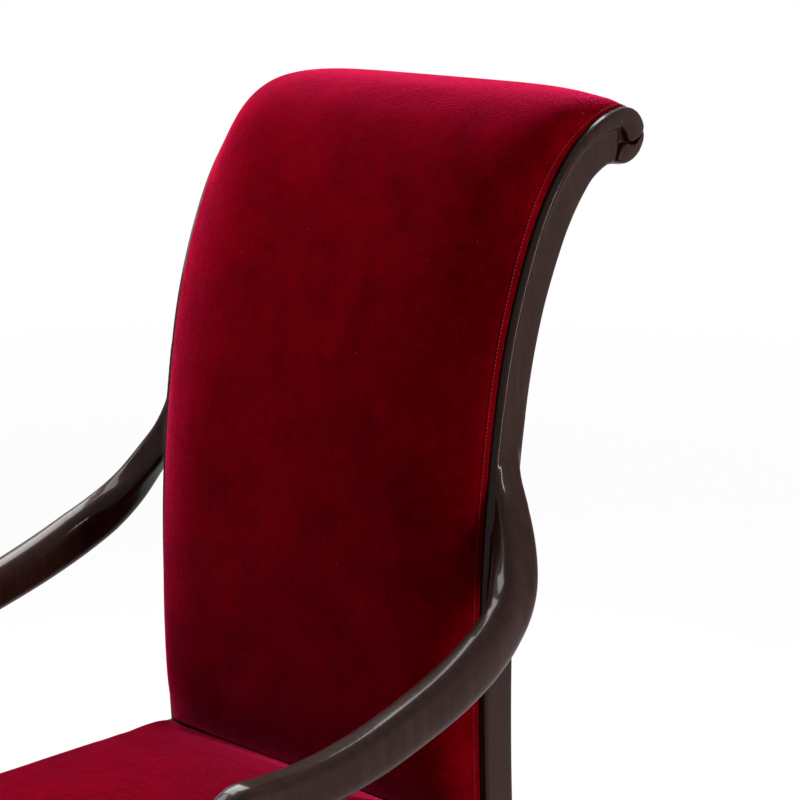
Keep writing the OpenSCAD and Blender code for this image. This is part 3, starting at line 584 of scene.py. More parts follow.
# ---------------------------------------------------------------- show-wood
# Side of the stile by the turn of the wood: band below the front edge, and how deep the web lies
BAND_TABLE = [(0, 5.8, 0), (26, 5.8, 0), (34, 5.9, .8), (43, 6.4, 1.8), (50, 7.8, 2.6),
              (56, 9.2, 3.1), (62, 10.8, 3.4), (70, 14.4, 3.6), (78.6, 17.6, 3.6)]
# Where the web ends: the turn of the wood at each depth
WEB_END = [(0, 78.6), (18.6, 77.8), (29.7, 76.7), (39.5, 74.7), (51, 72.2), (56, 71.1)]
# Inner edge of the band as it rolls over into the nose: turn at the rim, y and z inside
NOSE_TABLE = [(85, 389.5, 1149), (95, 393.8, 1147), (108, 397.4, 1143.8), (122, 400.4, 1140),
              (135, 402, 1136), (146, 403.8, 1132.8), (155, 406.4, 1130.8), (163, 410, 1130.2),
              (169, 414.6, 1131.4), (174, 418.8, 1133.4), (178, 422.4, 1136)]
NECK_END, NOSE_START, NOSE_END = 78.6, 79.2, 178
LOBE_OUTLINE = [(427.4, 1140), (428.2, 1134), (426.2, 1127), (421, 1118.2), (413, 1111.8),
                (403, 1108.2), (394, 1107.9), (387.6, 1110), (385.2, 1113.4), (387.6, 1119.5),
                (391.4, 1125), (395.6, 1128.4), (401, 1129.6), (406.4, 1128.4), (412, 1128.2),
                (418, 1130), (422.4, 1133.4), (425, 1137)]
SCROLL_MID = (398.03, 1138.3)
ROLL_STRETCH = 1.13
CORE_R = 21.0
# Heights between which the arm's own carving covers the stile
ROOT_LOW, ROOT_HIGH = 740, 862


def stile_section(half_w, band, sunk, depth, rear_r=5.0, front_r=4.0):
    """Closed section: flat front, rounded arris, band, step down to the web, rounded rear."""
    side = [(0.0, 0.0), (half_w * 0.55, 0.0)]
    for k in range(8):
        g = radians(90 * k / 7)
        side.append((half_w - front_r + front_r * sin(g), front_r - front_r * cos(g)))
    bulge = 0.05 * max(band - 5, 0)
    for f in (0.25, 0.5, 0.75, 1.0):
        side.append((half_w + bulge * sin(pi * f), front_r + (band - front_r) * f))
    for f in (0.2, 0.4, 0.6, 0.8, 1.0):
        side.append((half_w - sunk * float(smooth_step(f)), band + f * (0.8 + sunk * 0.9)))
    low, web = band + 0.8 + sunk * 0.9, half_w - sunk
    rear_r = min(rear_r, (depth - low) * 0.8)
    for f in (0.12, 0.35, 0.65):
        side.append((web, low + (depth - rear_r - low) * f))
    side += corner_arc((web - rear_r, depth - rear_r), rear_r, 0, 6)
    side += [(web * 0.5, depth), (0.0, depth)]
    return side + [(-w, d) for w, d in reversed(side[1:-1])]


def stile_ring(s, hidden=0.0, rear_r=5.0, front_r=4.0):
    """Section at arc length s; near the web's end its deeper points stay behind."""
    turn = float(np.interp(s, SPINE_S, SPINE[:, 2]))
    band, sunk = (float(look_up(BAND_TABLE, turn, k)) for k in (1, 2))
    section = np.array(stile_section(STILE_W / 2, band, sunk, stile_depth(s), rear_r, front_r))
    section *= 1 - 2 * hidden / STILE_W
    section[:, 1] += hidden
    end = np.array([s_at_turn(a) for _, a in WEB_END])
    lag = np.interp(section[:, 1], [d for d, _ in WEB_END], end - end[0])
    share = float(smooth_step((s - end[0] + 40) / 40))
    y, z = on_spine(s + lag * share, section[:, 1])
    return np.stack([STILE_X + section[:, 0], y, z], 1)


def nose_ring(turn, y, z):
    inner = np.array([y, z])
    outer = np.array(on_spine(s_at_turn(turn), 2.5 * float(smooth_step((turn - 162) / 14))))
    reach = float(np.linalg.norm(inner - outer))
    front_r = min(3.6, reach * 0.3)
    band = max(reach - 4.5, reach * 0.6)
    section = np.array(stile_section(STILE_W / 2, band, 0.6, reach, 3.4, front_r))
    place = outer + section[:, 1:] * (inner - outer) / reach
    return np.concatenate([STILE_X + section[:, :1], place], 1)


def stretched(points):
    """The scroll is a little longer than it is high."""
    points = np.array(points, float)
    behind = (points[:, 1] > SCROLL_MID[0]) & (points[:, 2] > 1090)
    points[behind, 1] = SCROLL_MID[0] + (points[behind, 1] - SCROLL_MID[0]) * ROLL_STRETCH
    return points


def stile_skin(low=None, high=None):
    """Leg, upright, neck and nose in one sweep, or the stretch of it between two arc lengths."""
    first, last = s_at_z(PLATE_T), s_at_turn(NECK_END)
    places = [*np.arange(first, last - 60, 3.0), *np.linspace(last - 60, last, 61)]
    z = np.interp(places, SPINE_S, SPINE[:, 1])
    if low is not None:
        sunk = (3.0 * smooth_step((z - ROOT_HIGH) / 40)
                + 3.0 * smooth_step((ROOT_LOW - z) / 35))
        return skin([stile_ring(s, float(h), 4.0, 1.8)
                     for s, h in zip(places, sunk) if low <= s <= high])
    # Behind the arm's root the stile is drawn in
    inside = (2.6 * smooth_step((z - (ROOT_LOW - 5)) / 25)
              * smooth_step((ROOT_HIGH + 6 - z) / 22))
    rings = [stile_ring(s, float(h)) for s, h in zip(places, inside)]
    table = [(NOSE_START, *on_spine(s_at_turn(NOSE_START), 18.2))] + NOSE_TABLE
    for turn in np.linspace(NOSE_START, NOSE_END, 64):
        rings.append(nose_ring(turn, *(float(look_up(table, turn, k)) for k in (1, 2))))
    points, faces = skin(rings)
    return stretched(points), faces


def pillow(outline, half_w, edge, dome):
    """A lobe of the volute: an outline on both side faces, rounded off and slightly domed."""
    outline = np.array(outline, float)
    mid = outline.mean(0)
    reach = np.linalg.norm(outline - mid, axis=1, keepdims=True)
    turns = [radians(g) for g in range(0, 91, 15)]
    steps = [(half_w - edge + edge * sin(g), edge * (1 - cos(g))) for g in turns]
    steps += [(half_w + dome * 0.5, edge + 2.5), (half_w + dome * 0.85, edge + 6),
              (half_w + dome, edge + 10)]
    rings = []
    for w, inset in [(-w, i) for w, i in reversed(steps)] + steps:
        ring = mid + (outline - mid) * (1 - np.minimum(inset / np.maximum(reach, 1), 0.92))
        rings.append([(STILE_X + w, p[0], p[1]) for p in ring])
    return skin(rings)


def spline_point(a, b, c, d, t):
    """Point at share t of the way from b to c on the smooth curve through all four."""
    return (2 * b + (c - a) * t + (2 * a - 5 * b + 4 * c - d) * t ** 2
            + (3 * b - a - 3 * c + d) * t ** 3) / 2


def rounded_outline(points, count=112):
    """Closed smooth curve through the given points."""
    points = np.array(points, float)
    n = len(points)
    return [spline_point(points[i - 1], points[i], points[(i + 1) % n], points[(i + 2) % n], t)
            for i in range(n) for t in np.arange(0, 1, n / count)]


def scroll_parts():
    """The lobe under the nose, and the core seen at the bottom of the carved hollow."""
    lobe, faces = pillow(rounded_outline(LOBE_OUTLINE), STILE_W / 2, 4.0, 0.7)
    mid_y, mid_z = SCROLL_MID[0] + 4, SCROLL_MID[1] + 1.5
    core = [(mid_y + CORE_R * cos(g), mid_z + CORE_R * sin(g))
            for g in np.linspace(0, 2 * pi, 72, endpoint=False)]
    core, core_faces = pillow(core, STILE_W / 2 - 9, 3.0, 0.2)
    return [(stretched(lobe), faces), (stretched(core), core_faces)]


# The arm's line by shares of its flare, reach and drop, and its width and thickness by the
# number of the point on that line
ARM_FLARE, ARM_REACH, ARM_DROP, ARM_ROOT_Z = 84.0, 459.0, 296.0, 880.0
ARM_W, ARM_T, CURL_R = 43.0, 54.0, 30.0
ARM_STEPS, OVAL_POINTS = 8, 36
ARM_SHARES = [(0, 0, 0), (.01, .002, .14), (.1, .0165, .285), (.33, .0325, .415),
              (.57, .068, .54), (.75, .113, .65), (.87, .179, .735), (.95, .27, .805),
              (.99, .383, .87), (1, .51, .925), (1, .641, .97), (.99, .771, .995),
              (.965, .891, 1), (.93, 1, .99)]
ARM_W_SHARES = [(0, .7), (1, .72), (2, .79), (4, .84), (6, .9), (8, 1), (10, 1), (13, .95)]
ARM_T_SHARES = [(0, .56), (1, .59), (2, .63), (3, .66), (4, .78), (5, .9), (6, 1), (7, 1.03),
                (9, .96), (13, .87)]
# Near its root the arm is squarer and twists, so that its front edge carries on from the arris
ARM_SQUARE = [(0, .3), (2, .3), (3, .38), (4, .5), (5, .65), (6, .76)]
ARM_TWIST = [(0, 0), (1, 0), (2, 14), (3, 30), (4, 26), (5, 12), (6, 0)]
# That edge by height: x and y; above its last row it is the stile's own arris
ARRIS_LINE = [(700, 300, 146), (720, 294, 155), (757, 271.7, 169), (796, 257, 181),
              (812, 256, 183)]
# Middle and spread of the hollow under the arm's root where the arm and the stile melt together
HOLLOW_MID, HOLLOW_SPREAD = (250, 172, 722), (20, 22, 24)
# Turn of the wood up to which the arm's piece takes in a stretch of the stile
GRAFT_TURN = 24
# Stretch of the joint that is smoothed: middle, spread and rounds; each round shrinks the mesh
# and then swells it, so that the wood keeps its bulk
JOINT_Z, JOINT_SPREAD, JOINT_ROUNDS = 800, 65, 36
SHRINK, SWELL = 0.5, -0.51


def arm_path():
    """Smooth curve through the points of the arm's line."""
    root_y = UPRIGHT_Y + 40
    points = np.array([(STILE_X + a * ARM_FLARE, root_y - b * ARM_REACH, ARM_ROOT_Z - c * ARM_DROP)
                       for a, b, c in ARM_SHARES])
    n = len(points) - 1
    path = [spline_point(points[max(i - 1, 0)], points[i], points[i + 1], points[min(i + 2, n)],
                         k / ARM_STEPS) for i in range(n) for k in range(ARM_STEPS)]
    return np.array(path + [points[-1]])


def oval_ring(p, direction, half_w, half_h, square=0.76, twist=0.0):
    """Section across a direction: an oval, or nearly a rectangle where square is small."""
    d = direction / np.linalg.norm(direction)
    u = np.array([1.0, 0, 0]) - d * d[0]
    u /= np.linalg.norm(u)
    v = np.cross(d, u)
    t = radians(twist)
    u, v = u * cos(t) + v * sin(t), v * cos(t) - u * sin(t)
    ring = []
    for k in range(OVAL_POINTS):
        g = 2 * pi * k / OVAL_POINTS
        c, s = cos(g), sin(g)
        ring.append(p + u * half_w * copysign(abs(c) ** square, c)
                    + v * half_h * copysign(abs(s) ** square, s))
    return ring


def arm_skin():
    path = arm_path()
    tables = (ARM_W_SHARES, ARM_T_SHARES, ARM_SQUARE, ARM_TWIST)
    rings = []
    for i in range(len(path)):
        direction = path[min(i + 1, len(path) - 1)] - path[max(i - 1, 0)]
        wide, thick, square, twist = (float(look_up(t, i / ARM_STEPS)) for t in tables)
        half_w, half_t = ARM_W * wide / 2, ARM_T * thick / 2
        rings.append(oval_ring(path[i], direction, half_w, half_t, square, twist))
    # The curl at the front end
    for k in range(1, 25):
        f = k / 24
        g = radians(205 * f)
        r = CURL_R * (1 - 0.12 * f)
        p = path[-1] + np.array([0, -r * sin(g), r * cos(g) - CURL_R])
        direction = np.array([0, -cos(g), -sin(g)])
        rings.append(oval_ring(p, direction, half_w * (1 - 0.15 * f), half_t * (1 - 0.5 * f)))
    return skin(rings)


def post_skin():
    """Short swept post between the front leg and the arm."""
    path = arm_path()
    top_y = path[-1][1] + 18
    order = np.argsort(path[:, 1])
    top_x, top_z = (float(np.interp(top_y, path[order, 1], path[order, k])) for k in (0, 2))
    top_z = top_z - ARM_T * 0.87 / 2 + 8
    foot_x, foot_y = RAIL_START + RAIL_FLARE + LEG_W / 2, RAIL_FRONT_Y - LEG_W / 2
    rings = []
    for k in range(25):
        f = k / 24
        s = float(smooth_step(f))
        w = LEG_W * (0.92 - 0.22 * sin(pi * f))
        x, y = foot_x + (top_x - foot_x) * s, foot_y + (top_y - foot_y) * s
        r, loop = w / 4, []
        for sx, sy, start in ((1, -1, -90), (1, 1, 0), (-1, 1, 90), (-1, -1, 180)):
            loop += corner_arc((sx * (w * 0.45 - r), sy * (w / 2 - r)), r, start, 5)
        rings.append([(x + p, y + q, RAIL_TOP + (top_z - RAIL_TOP) * f) for p, q in loop])
    return skin(rings)


class ARMCHAIR_OT_show_wood(bpy.types.Operator):
    """Carves each side's stile with its scroll, and the arm that grows out of it"""
    bl_idname = "armchair.show_wood"
    bl_label = "Show-wood"

    def execute(self, context):
        stile = new_object("right_stile_wood", *joined([stile_skin()] + scroll_parts()))
        tidy_mesh(stile, 0.01)
        shade(stile, 38)
        arm = self.arm(sizes().carve_step * (1.0))
        for obj, nodes in ((stile, ("stile",)), (arm, ("arm", "arm_post"))):
            other = linked(obj.name.replace("right", "left"), obj.data.copy())
            set_coords(other, coords(obj) * [-1, 1, 1])
            other.data.flip_normals()
            for item, side in ((obj, "right_"), (other, "left_")):
                dress(item, "frame", "mahogany", [side + n for n in nodes])
        return {"FINISHED"}

    def arm(self, step):
        """Arm and post in one, with a stretch of the stile to grow out of."""
        stretch = stile_skin(s_at_z(UPRIGHT_Z), s_at_turn(GRAFT_TURN))
        obj = new_object("right_arm_wood", *joined([stretch, arm_skin(), post_skin()]))
        tidy_mesh(obj)
        baked(obj, "REMESH", mode="VOXEL", voxel_size=step)
        ease(obj, 0.5, 4)
        co = coords(obj) / MM
        x, y, z = co.T
        near = np.exp(-((z - JOINT_Z) / JOINT_SPREAD) ** 2) * smooth_step((y - 110) / 40)
        # The stile's front arris stays crisp until the arm's inner edge takes over from it
        front = np.interp(z, SPINE[:RISING_ROWS, 1], SPINE[:RISING_ROWS, 0])
        edge_y = np.where(z > ARRIS_LINE[-1][0], front, look_up(ARRIS_LINE, z, 2))
        away = np.hypot(x - look_up(ARRIS_LINE, z), y - edge_y)
        near *= 1 - smooth_step((z - 725) / 16) * (1 - smooth_step((away - 4) / 7))
        for _ in range(JOINT_ROUNDS):
            ease(obj, SHRINK, 1, mask=near)
            ease(obj, SWELL, 1, mask=near)
        fade = np.exp(-(((co - HOLLOW_MID) / HOLLOW_SPREAD) ** 2).sum(1))
        ease(obj, 0.5, 40, mask=fade)
        return shade(obj)


class ARMCHAIR_OT_base_wood(bpy.types.Operator):
    """Eases the edges of the legs, rails and stretcher"""
    bl_idname = "armchair.base_wood"
    bl_label = "Legs and rails"

    def execute(self, context):
        for name in both("front_leg", "side_rail") + ["rear_rail", "front_stretcher"]:
            obj = linked(name + "_eased", NODES[name].data.copy())
            tidy_mesh(obj)
            work = bmesh.new()
            work.from_mesh(obj.data)
            bmesh.ops.dissolve_limit(work, angle_limit=radians(1), verts=work.verts,
                                     edges=work.edges)
            work.to_mesh(obj.data)
            work.free()
            baked(obj, "BEVEL", width=0.0016, segments=3, limit_method="ANGLE",
                  angle_limit=radians(50), harden_normals=False)
            shade(obj, 40)
            dress(obj, "frame", "mahogany", [name])
        return {"FINISHED"}


# ---------------------------------------------------------------- back upholstery
PAD_TURNS = [0, 2.5, 5, 7.5, 10, 14, 18, 22, 26, 30, 34, 38.5, 43, 50.5, 58, 65, 71, 76]
PAD_BOTTOM = RAIL_TOP + 2
PAD_END = heading(6) - 22
SEAM_X = 243.0
BACK_ROWS, OUTSIDE_ROWS = 190, 110
# How far the crown takes to rise from the pad's lower end and from its upper end
BOTTOM_ROUND, TOP_ROUND = 18, 14
# Tables over the back's 38 stations: height of the boxed side, rise of the crown above it, and
# how full the crown is
SIDE_HEIGHTS = [(0, 5.5), (6, 6), (12, 6.8), (17, 8), (19, 7.6), (20, 6.2), (21, 4.2),
                (22, 3.3), (24, 2.8), (26, 2.4), (37, 2.4)]
CROWN_SHARES = [(0, .36), (1, .78), (2, 1), (6, .97), (9, .83), (12, .7), (15, .7), (18, .82),
                (20, .9), (22, .76), (24, .5), (26, .39), (28, .39), (31, .33), (34, .22), (37, 0)]
FULLNESS = [(0, 13), (6, 12), (9, 8.5), (12, 6), (15, 6.5), (18, 10), (20, 15), (22, 14),
            (24, 8), (26, 4.5), (37, 4.5)]


def pad_span():
    return s_at_z(PAD_BOTTOM), s_at_turn(PAD_END)


def eased_table(table, width=25):
    """A table over the stations as a smooth line over arc length."""
    places = [s_at_z(PAD_BOTTOM + (UPRIGHT_Z - PAD_BOTTOM) * k / 7) for k in range(7)]
    places += [s_at_turn(a) for a in PAD_TURNS]
    places += [s_at_turn(heading(5) + (PAD_END - heading(5)) * k / 12) for k in range(13)]
    fine = np.arange(places[0], places[-1] + 1, 2.0)
    value = look_up(table, np.interp(fine, places, np.arange(len(places))))
    for _ in range(2):
        padded = np.pad(value, width // 2, mode="edge")
        value = np.convolve(padded, np.ones(width) / width, mode="valid")
    return fine, value


SIDE_TABLE, CROWN_TABLE, FULL_TABLE = (eased_table(t) for t in (SIDE_HEIGHTS, CROWN_SHARES,
                                                                FULLNESS))


def side_height(s):
    return float(np.interp(s, *SIDE_TABLE))


def cushion_depth(s, x):
    """How far the front skin stands in front of the wood at arc length s and place x across."""
    start, end = pad_span()
    rise = sizes().back_crown / MM * float(np.interp(s, *CROWN_TABLE))
    full = float(np.interp(s, *FULL_TABLE))
    lower = np.clip((s - start) / BOTTOM_ROUND, 0, 1)
    upper = np.clip((end - s) / TOP_ROUND, 0, 1)
    rise *= sqrt(1 - (1 - lower) ** 2) * sqrt(1 - (1 - upper) ** 2)
    valley = 0.8 * np.exp(-((SEAM_X - 2.4 - np.abs(x)) / 1.1) ** 2)
    return side_height(s) + rise * (1 - np.clip(np.abs(x) / SEAM_X, 0, 1) ** full) - valley


def cushion_section(s, columns):
    """Front skin from seam to seam and the boxed sides down to the wood."""
    side = side_height(s)
    front = [(x, -d) for x, d in zip(columns, cushion_depth(s, columns))]
    # Side wall: drawn in under the seam and spread where it meets the wood
    wall = [(SEAM_X + 0.4, -side + 0.7), (SEAM_X + 0.5, -side * 0.84), (SEAM_X + 0.9, -side * 0.66),
            (SEAM_X + 1.7, -side * 0.44), (SEAM_X + 3.0, -side * 0.22), (SEAM_X + 4.9, 0.4)]
    return [(-x, d) for x, d in reversed(wall)] + front + wall


class ARMCHAIR_OT_back_cushion(bpy.types.Operator):
    """Stuffs and covers the inside back, from the seat to under the roll"""
    bl_idname = "armchair.back_cushion"
    bl_label = "Back cushion"

    def execute(self, context):
        start, end = pad_span()
        rows = np.linspace(start, end, BACK_ROWS)
        edge = SEAM_X - np.array([0, 0.7, 1.8, 3.4, 5.5, 8.2, 11.5, 15.5, 20, 25, 30.5])
        inner = np.linspace(-SEAM_X + 37, SEAM_X - 37, 45)
        columns = np.concatenate([-edge, inner, edge[::-1]])
        rings = []
        for s in rows:
            x, depth = np.array(cushion_section(s, columns)).T
            rings.append(np.stack([x, *on_spine(s, depth)], 1))
        cushion = tidy_mesh(new_object("back_cushion", *skin(rings)), 0.001)
        across = np.abs(coords(cushion)[:, 0] / MM)
        along = np.repeat(np.arange(len(rows)), len(rings[0]))
        held = (across > SEAM_X - 6) | (along < 2) | (along > len(rows) - 3)
        fill_with_foam(cushion, held, pressure=1.0, cap=1.2)
        ease(cushion, 0.5, 12, mask=smooth_step((SEAM_X - 14 - across) / 20))
        rounded_off(cushion)
        dress(cushion, "frame", "velvet", ["back_pad"])
        return {"FINISHED"}


class ARMCHAIR_OT_back_outside(bpy.types.Operator):
    """Covers the outside back with one velvet panel"""
    bl_idname = "armchair.back_outside"
    bl_label = "Outside back"

    def execute(self, context):
        half = HALF_BACK - STILE_W - 0.6
        start, end = s_at_z(PAD_BOTTOM), s_at_turn(THROAT - 5.5)
        rows = np.linspace(start, end, OUTSIDE_ROWS)
        columns = np.concatenate([[-half, -half + 2], np.linspace(-half + 6, half - 6, 44),
                                  [half - 2, half]])
        u = np.abs(columns) / half
        rings = []
        for s in rows:
            v = abs((s - start) / (end - start) * 2 - 1)
            rise = 4.2 * (1 - u ** 6) * (1 - v ** 10)
            base = stile_depth(s) - 2.6
            edge = 1.6 * (smooth_step((u - 0.975) / 0.025) + smooth_step((v - 0.985) / 0.015))
            outer = np.stack([columns, *on_spine(s, base + rise - np.minimum(edge, 1.6))], 1)
            inner = np.stack([columns, *on_spine(s, np.full(len(columns), base - 5.0))], 1)
            rings.append(np.concatenate([outer, inner[::-1]]))
        count = len(columns)
        ring = 2 * count
        faces = grid_faces(len(rows), ring, wrap=True)
        for base in (0, (len(rows) - 1) * ring):
            faces += [(base + j, base + j + 1, base + ring - 2 - j, base + ring - 1 - j)
                      for j in range(count - 1)]
        panel = tidy_mesh(new_object("outside_back", np.concatenate(rings), faces), 0.001)
        rounded_off(panel)
        dress(panel, "frame", "velvet", ["back_outer_panel"])
        return {"FINISHED"}


SEAT_GRAIN, QUICK_SEAT_GRAIN = 0.0058, 0.009


def tip_back_y(z):
    """Rearmost y at height z that stays clear of the frame as the seat tips."""
    return PIVOT_Y + sqrt(SEAT_TAIL ** 2 - (z - PIVOT_Z) ** 2) - 1


def seat_outline(z, inset, r, side=12):
    back, front = tip_back_y(z) - inset * 0.3, SEAT_FRONT + inset
    wb, wf = seat_half(back) - inset, seat_half(front) - inset
    edge = [k / (side + 1) for k in range(1, side + 1)]
    rear = r * 0.45
    points = corner_arc((wb - rear, back - rear), rear, 0)
    points += corner_arc((rear - wb, back - rear), rear, 90)
    points += [(-wb + (wb - wf) * f, back + (front - back) * f) for f in edge]
    points += corner_arc((r - wf, front + r), r, 180)
    points += [((2 * f - 1) * (wf - r), front) for f in edge]
    points += corner_arc((wf - r, front + r), r, 270)
    points += [(wf + (wb - wf) * f, front + (back - front) * f) for f in edge]
    return [(p[0], p[1], z) for p in points]


class ARMCHAIR_OT_seat_cushion(bpy.types.Operator):
    """Stuffs and covers the seat"""
    bl_idname = "armchair.seat_cushion"
    bl_label = "Seat cushion"

    def execute(self, context):
        rings = []
        # Side walls: share of their height, and how far they are tucked in there
        for f, tuck in ((0, 2.5), (.25, .6), (.5, 0), (.72, 1), (.88, 4), (.97, 9), (1, 16)):
            rings.append(seat_outline(PAD_FLOOR_Z + PAD_EDGE_H * f, tuck + 2.0, 26 - tuck / 2))
        top = np.array(rings[-1])
        mid = np.array([0, (SEAT_FRONT + SEAT_REAR) / 2])
        half = np.array([seat_half(mid[1]), (SEAT_REAR - SEAT_FRONT) / 2])
        # The top closes in rings that grow rounder: share of the way in, and of the crown's rise
        for inset, rise in ((.12, .3), (.3, .62), (.5, .84), (.72, .96), (.9, 1)):
            f = 1 - inset
            d = top[:, :2] - mid
            g = np.arctan2(d[:, 1] / half[1], d[:, 0] / half[0])
            q = d * f + np.stack([half[0] * np.cos(g), half[1] * np.sin(g)], 1) * inset
            level = PAD_FLOOR_Z + PAD_EDGE_H + (PAD_CROWN - 3) * rise
            rings.append(np.concatenate([mid + q * f, np.full((len(d), 1), level)], 1))
        cushion = tidy_mesh(new_object("seat_cushion", *skin(rings)))
        grain = SEAT_GRAIN
        baked(cushion, "REMESH", mode="VOXEL", voxel_size=grain)
        ease(cushion, 0.5, 4)
        held = coords(cushion)[:, 2] / MM < PAD_FLOOR_Z + 4
        fill_with_foam(cushion, held, pressure=4.0, cap=5.0)
        co = coords(cushion) / MM
        co[:, 2] = np.maximum(co[:, 2], PAD_FLOOR_Z + 0.1)
        # The rear edge stays inside the arc that the frame's tail swings through
        reach, limit = np.hypot(co[:, 1] - PIVOT_Y, co[:, 2] - PIVOT_Z), SEAT_TAIL - 0.6
        over = (co[:, 1] > PIVOT_Y) & (reach > limit)
        pull = np.where(over, limit / np.maximum(reach, 1), 1.0)
        co[:, 1] = PIVOT_Y + (co[:, 1] - PIVOT_Y) * pull
        set_coords(cushion, co * MM)
        ease(cushion, 0.4, 3)
        rounded_off(cushion)
        dress(cushion, "seat", "velvet", ["seat_pad"])
        return {"FINISHED"}


def skirt_path(radius=10.0, steps=6):
    """Path round the seat from the rear right to the rear left, with its outward normals."""
    rear, front = SEAT_REAR - 4, SEAT_FRONT
    corner = seat_half(front)
    path = []
    for k in range(26):
        y = rear + (front + radius - rear) * k / 25
        path.append((seat_half(y), y, 1.0, 0.07))
    for k in range(1, steps):
        g = radians(90 * k / steps)
        path.append((corner - radius + radius * cos(g),
                     front + radius - radius * sin(g), cos(g), -sin(g)))
    right = list(path)
    path += [((corner - radius) * (1 - 2 * k / 26), front, 0.0, -1.0) for k in range(27)]
    return path + [(-x, y, -nx, ny) for x, y, nx, ny in reversed(right)]


class ARMCHAIR_OT_seat_band(bpy.types.Operator):
    """Wraps the seat frame in its velvet band, with clear holes for the pins"""
    bl_idname = "armchair.seat_band"
    bl_label = "Seat band"

    def execute(self, context):
        low, high = SEAT_Z, PAD_FLOOR_Z
        section = [(-2.9, low + 0.6), (-2.4, low), (-0.9, low), (0.2, low + 1.4), (0.5, low + 8),
                   (0.7, low + 22), (0.7, high - 18), (0.4, high - 7), (-0.4, high - 1.4),
                   (-1.4, high - 0.3), (-2.9, high - 0.3)]
        rings = [[(x + nx * o, y + ny * o, z) for o, z in section]
                 for x, y, nx, ny in skirt_path()]
        band = tidy_mesh(new_object("seat_skirt", *skin(rings)))
        turns = np.linspace(0, 2 * pi, 64, endpoint=False)
        for name, sign in (("right_hole", 1), ("left_hole", -1)):
            ring = [[(sign * x, PIVOT_Y + PIN_HOLE_R * cos(g),
                      PIVOT_Z + PIN_HOLE_R * sin(g)) for g in turns] for x in (190, 260)]
            tool = tidy_mesh(new_object(name, *skin(ring)))
            baked(band, "BOOLEAN", operation="DIFFERENCE", object=tool, solver="EXACT")
            bpy.data.objects.remove(tool)
        shade(band, 35)
        dress(band, "seat", "velvet", ["seat_band"])
        return {"FINISHED"}


# ---------------------------------------------------------------- seams
def geometry(tree, kind, inputs=None, **settings):
    return add(tree, "GeometryNode" + kind, inputs, **settings)


def line_tree(name, **numbers):
    """Starts a tree that takes lines, named numbers and a material."""
    tree = bpy.data.node_groups.new(name, "GeometryNodeTree")

    def socket(label, kind, way="INPUT"):
        return tree.interface.new_socket(label, in_out=way, socket_type="NodeSocket" + kind)

    socket("Geometry", "Geometry")
    for label, value in numbers.items():
        socket(label, "Float").default_value = value
    socket("Material", "Material")
    socket("Geometry", "Geometry", "OUTPUT")
    start = add(tree, "NodeGroupInput").outputs
    return tree, start, geometry(tree, "MeshToCurve", {"Mesh": start["Geometry"]})


def coated(tree, start, shape):
    """Ends a tree with real geometry in the given material."""
    real = geometry(tree, "RealizeInstances", {"Geometry": shape})
    coat = geometry(tree, "SetMaterial", {"Geometry": real, "Material": start["Material"]})
    add(tree, "NodeGroupOutput", {"Geometry": coat})
    return tree


def stitch_tree():
    """Geometry nodes that set a row of stitches along a line."""
    tree, start, line = line_tree("stitch_row", Pitch=0.0042, Stitch=0.003, Thread=0.0004)
    dots = geometry(tree, "CurveToPoints", {"Curve": line, "Length": start["Pitch"]},
                    mode="LENGTH")
    bead = geometry(tree, "MeshUVSphere", {"Segments": 6, "Rings": 5, "Radius": 1.0})
    half = maths(tree, "MULTIPLY", start["Stitch"], 0.5)
    thread = start["Thread"]
    scale = shader(tree, "CombineXYZ", {"X": thread, "Y": thread, "Z": half})
    rows = geometry(tree, "InstanceOnPoints", {"Points": dots, "Instance": bead, "Scale": scale,
                                               "Rotation": dots.outputs["Rotation"]})
    return coated(tree, start, rows)


def welt_tree():
    """Geometry nodes that lay a round covered cord along a line."""
    tree, start, line = line_tree("welt", Radius=0.0032)
    circle = geometry(tree, "CurvePrimitiveCircle", {"Radius": start["Radius"], "Resolution": 12})
    tube = geometry(tree, "CurveToMesh", {"Curve": line, "Profile Curve": circle,
                                          "Fill Caps": True})
    return coated(tree, start, tube)


def run_tree(name, lines, tree, **values):
    """Feeds lines of points to a tree and returns the plain mesh object that comes out."""
    points, edges = [], []
    for line in lines:
        base = len(points)
        points += [tuple(c * MM for c in p) for p in line]
        edges += [(base + i, base + i + 1) for i in range(len(line) - 1)]
    mesh = bpy.data.meshes.new(name)
    mesh.from_pydata(points, edges, [])
    obj = linked(name, mesh)
    mod = obj.modifiers.new("row", "NODES")
    mod.node_group = tree
    for item in tree.interface.items_tree:
        if item.name in values:
            mod[item.identifier] = values[item.name]
    return shade(baked(obj))


def line_on_stile(x, places, depth):
    """Line up the stile at x, as deep in the wood at each place as depth says."""
    return [(x, *(float(c) for c in on_spine(s, depth(s)))) for s in places]


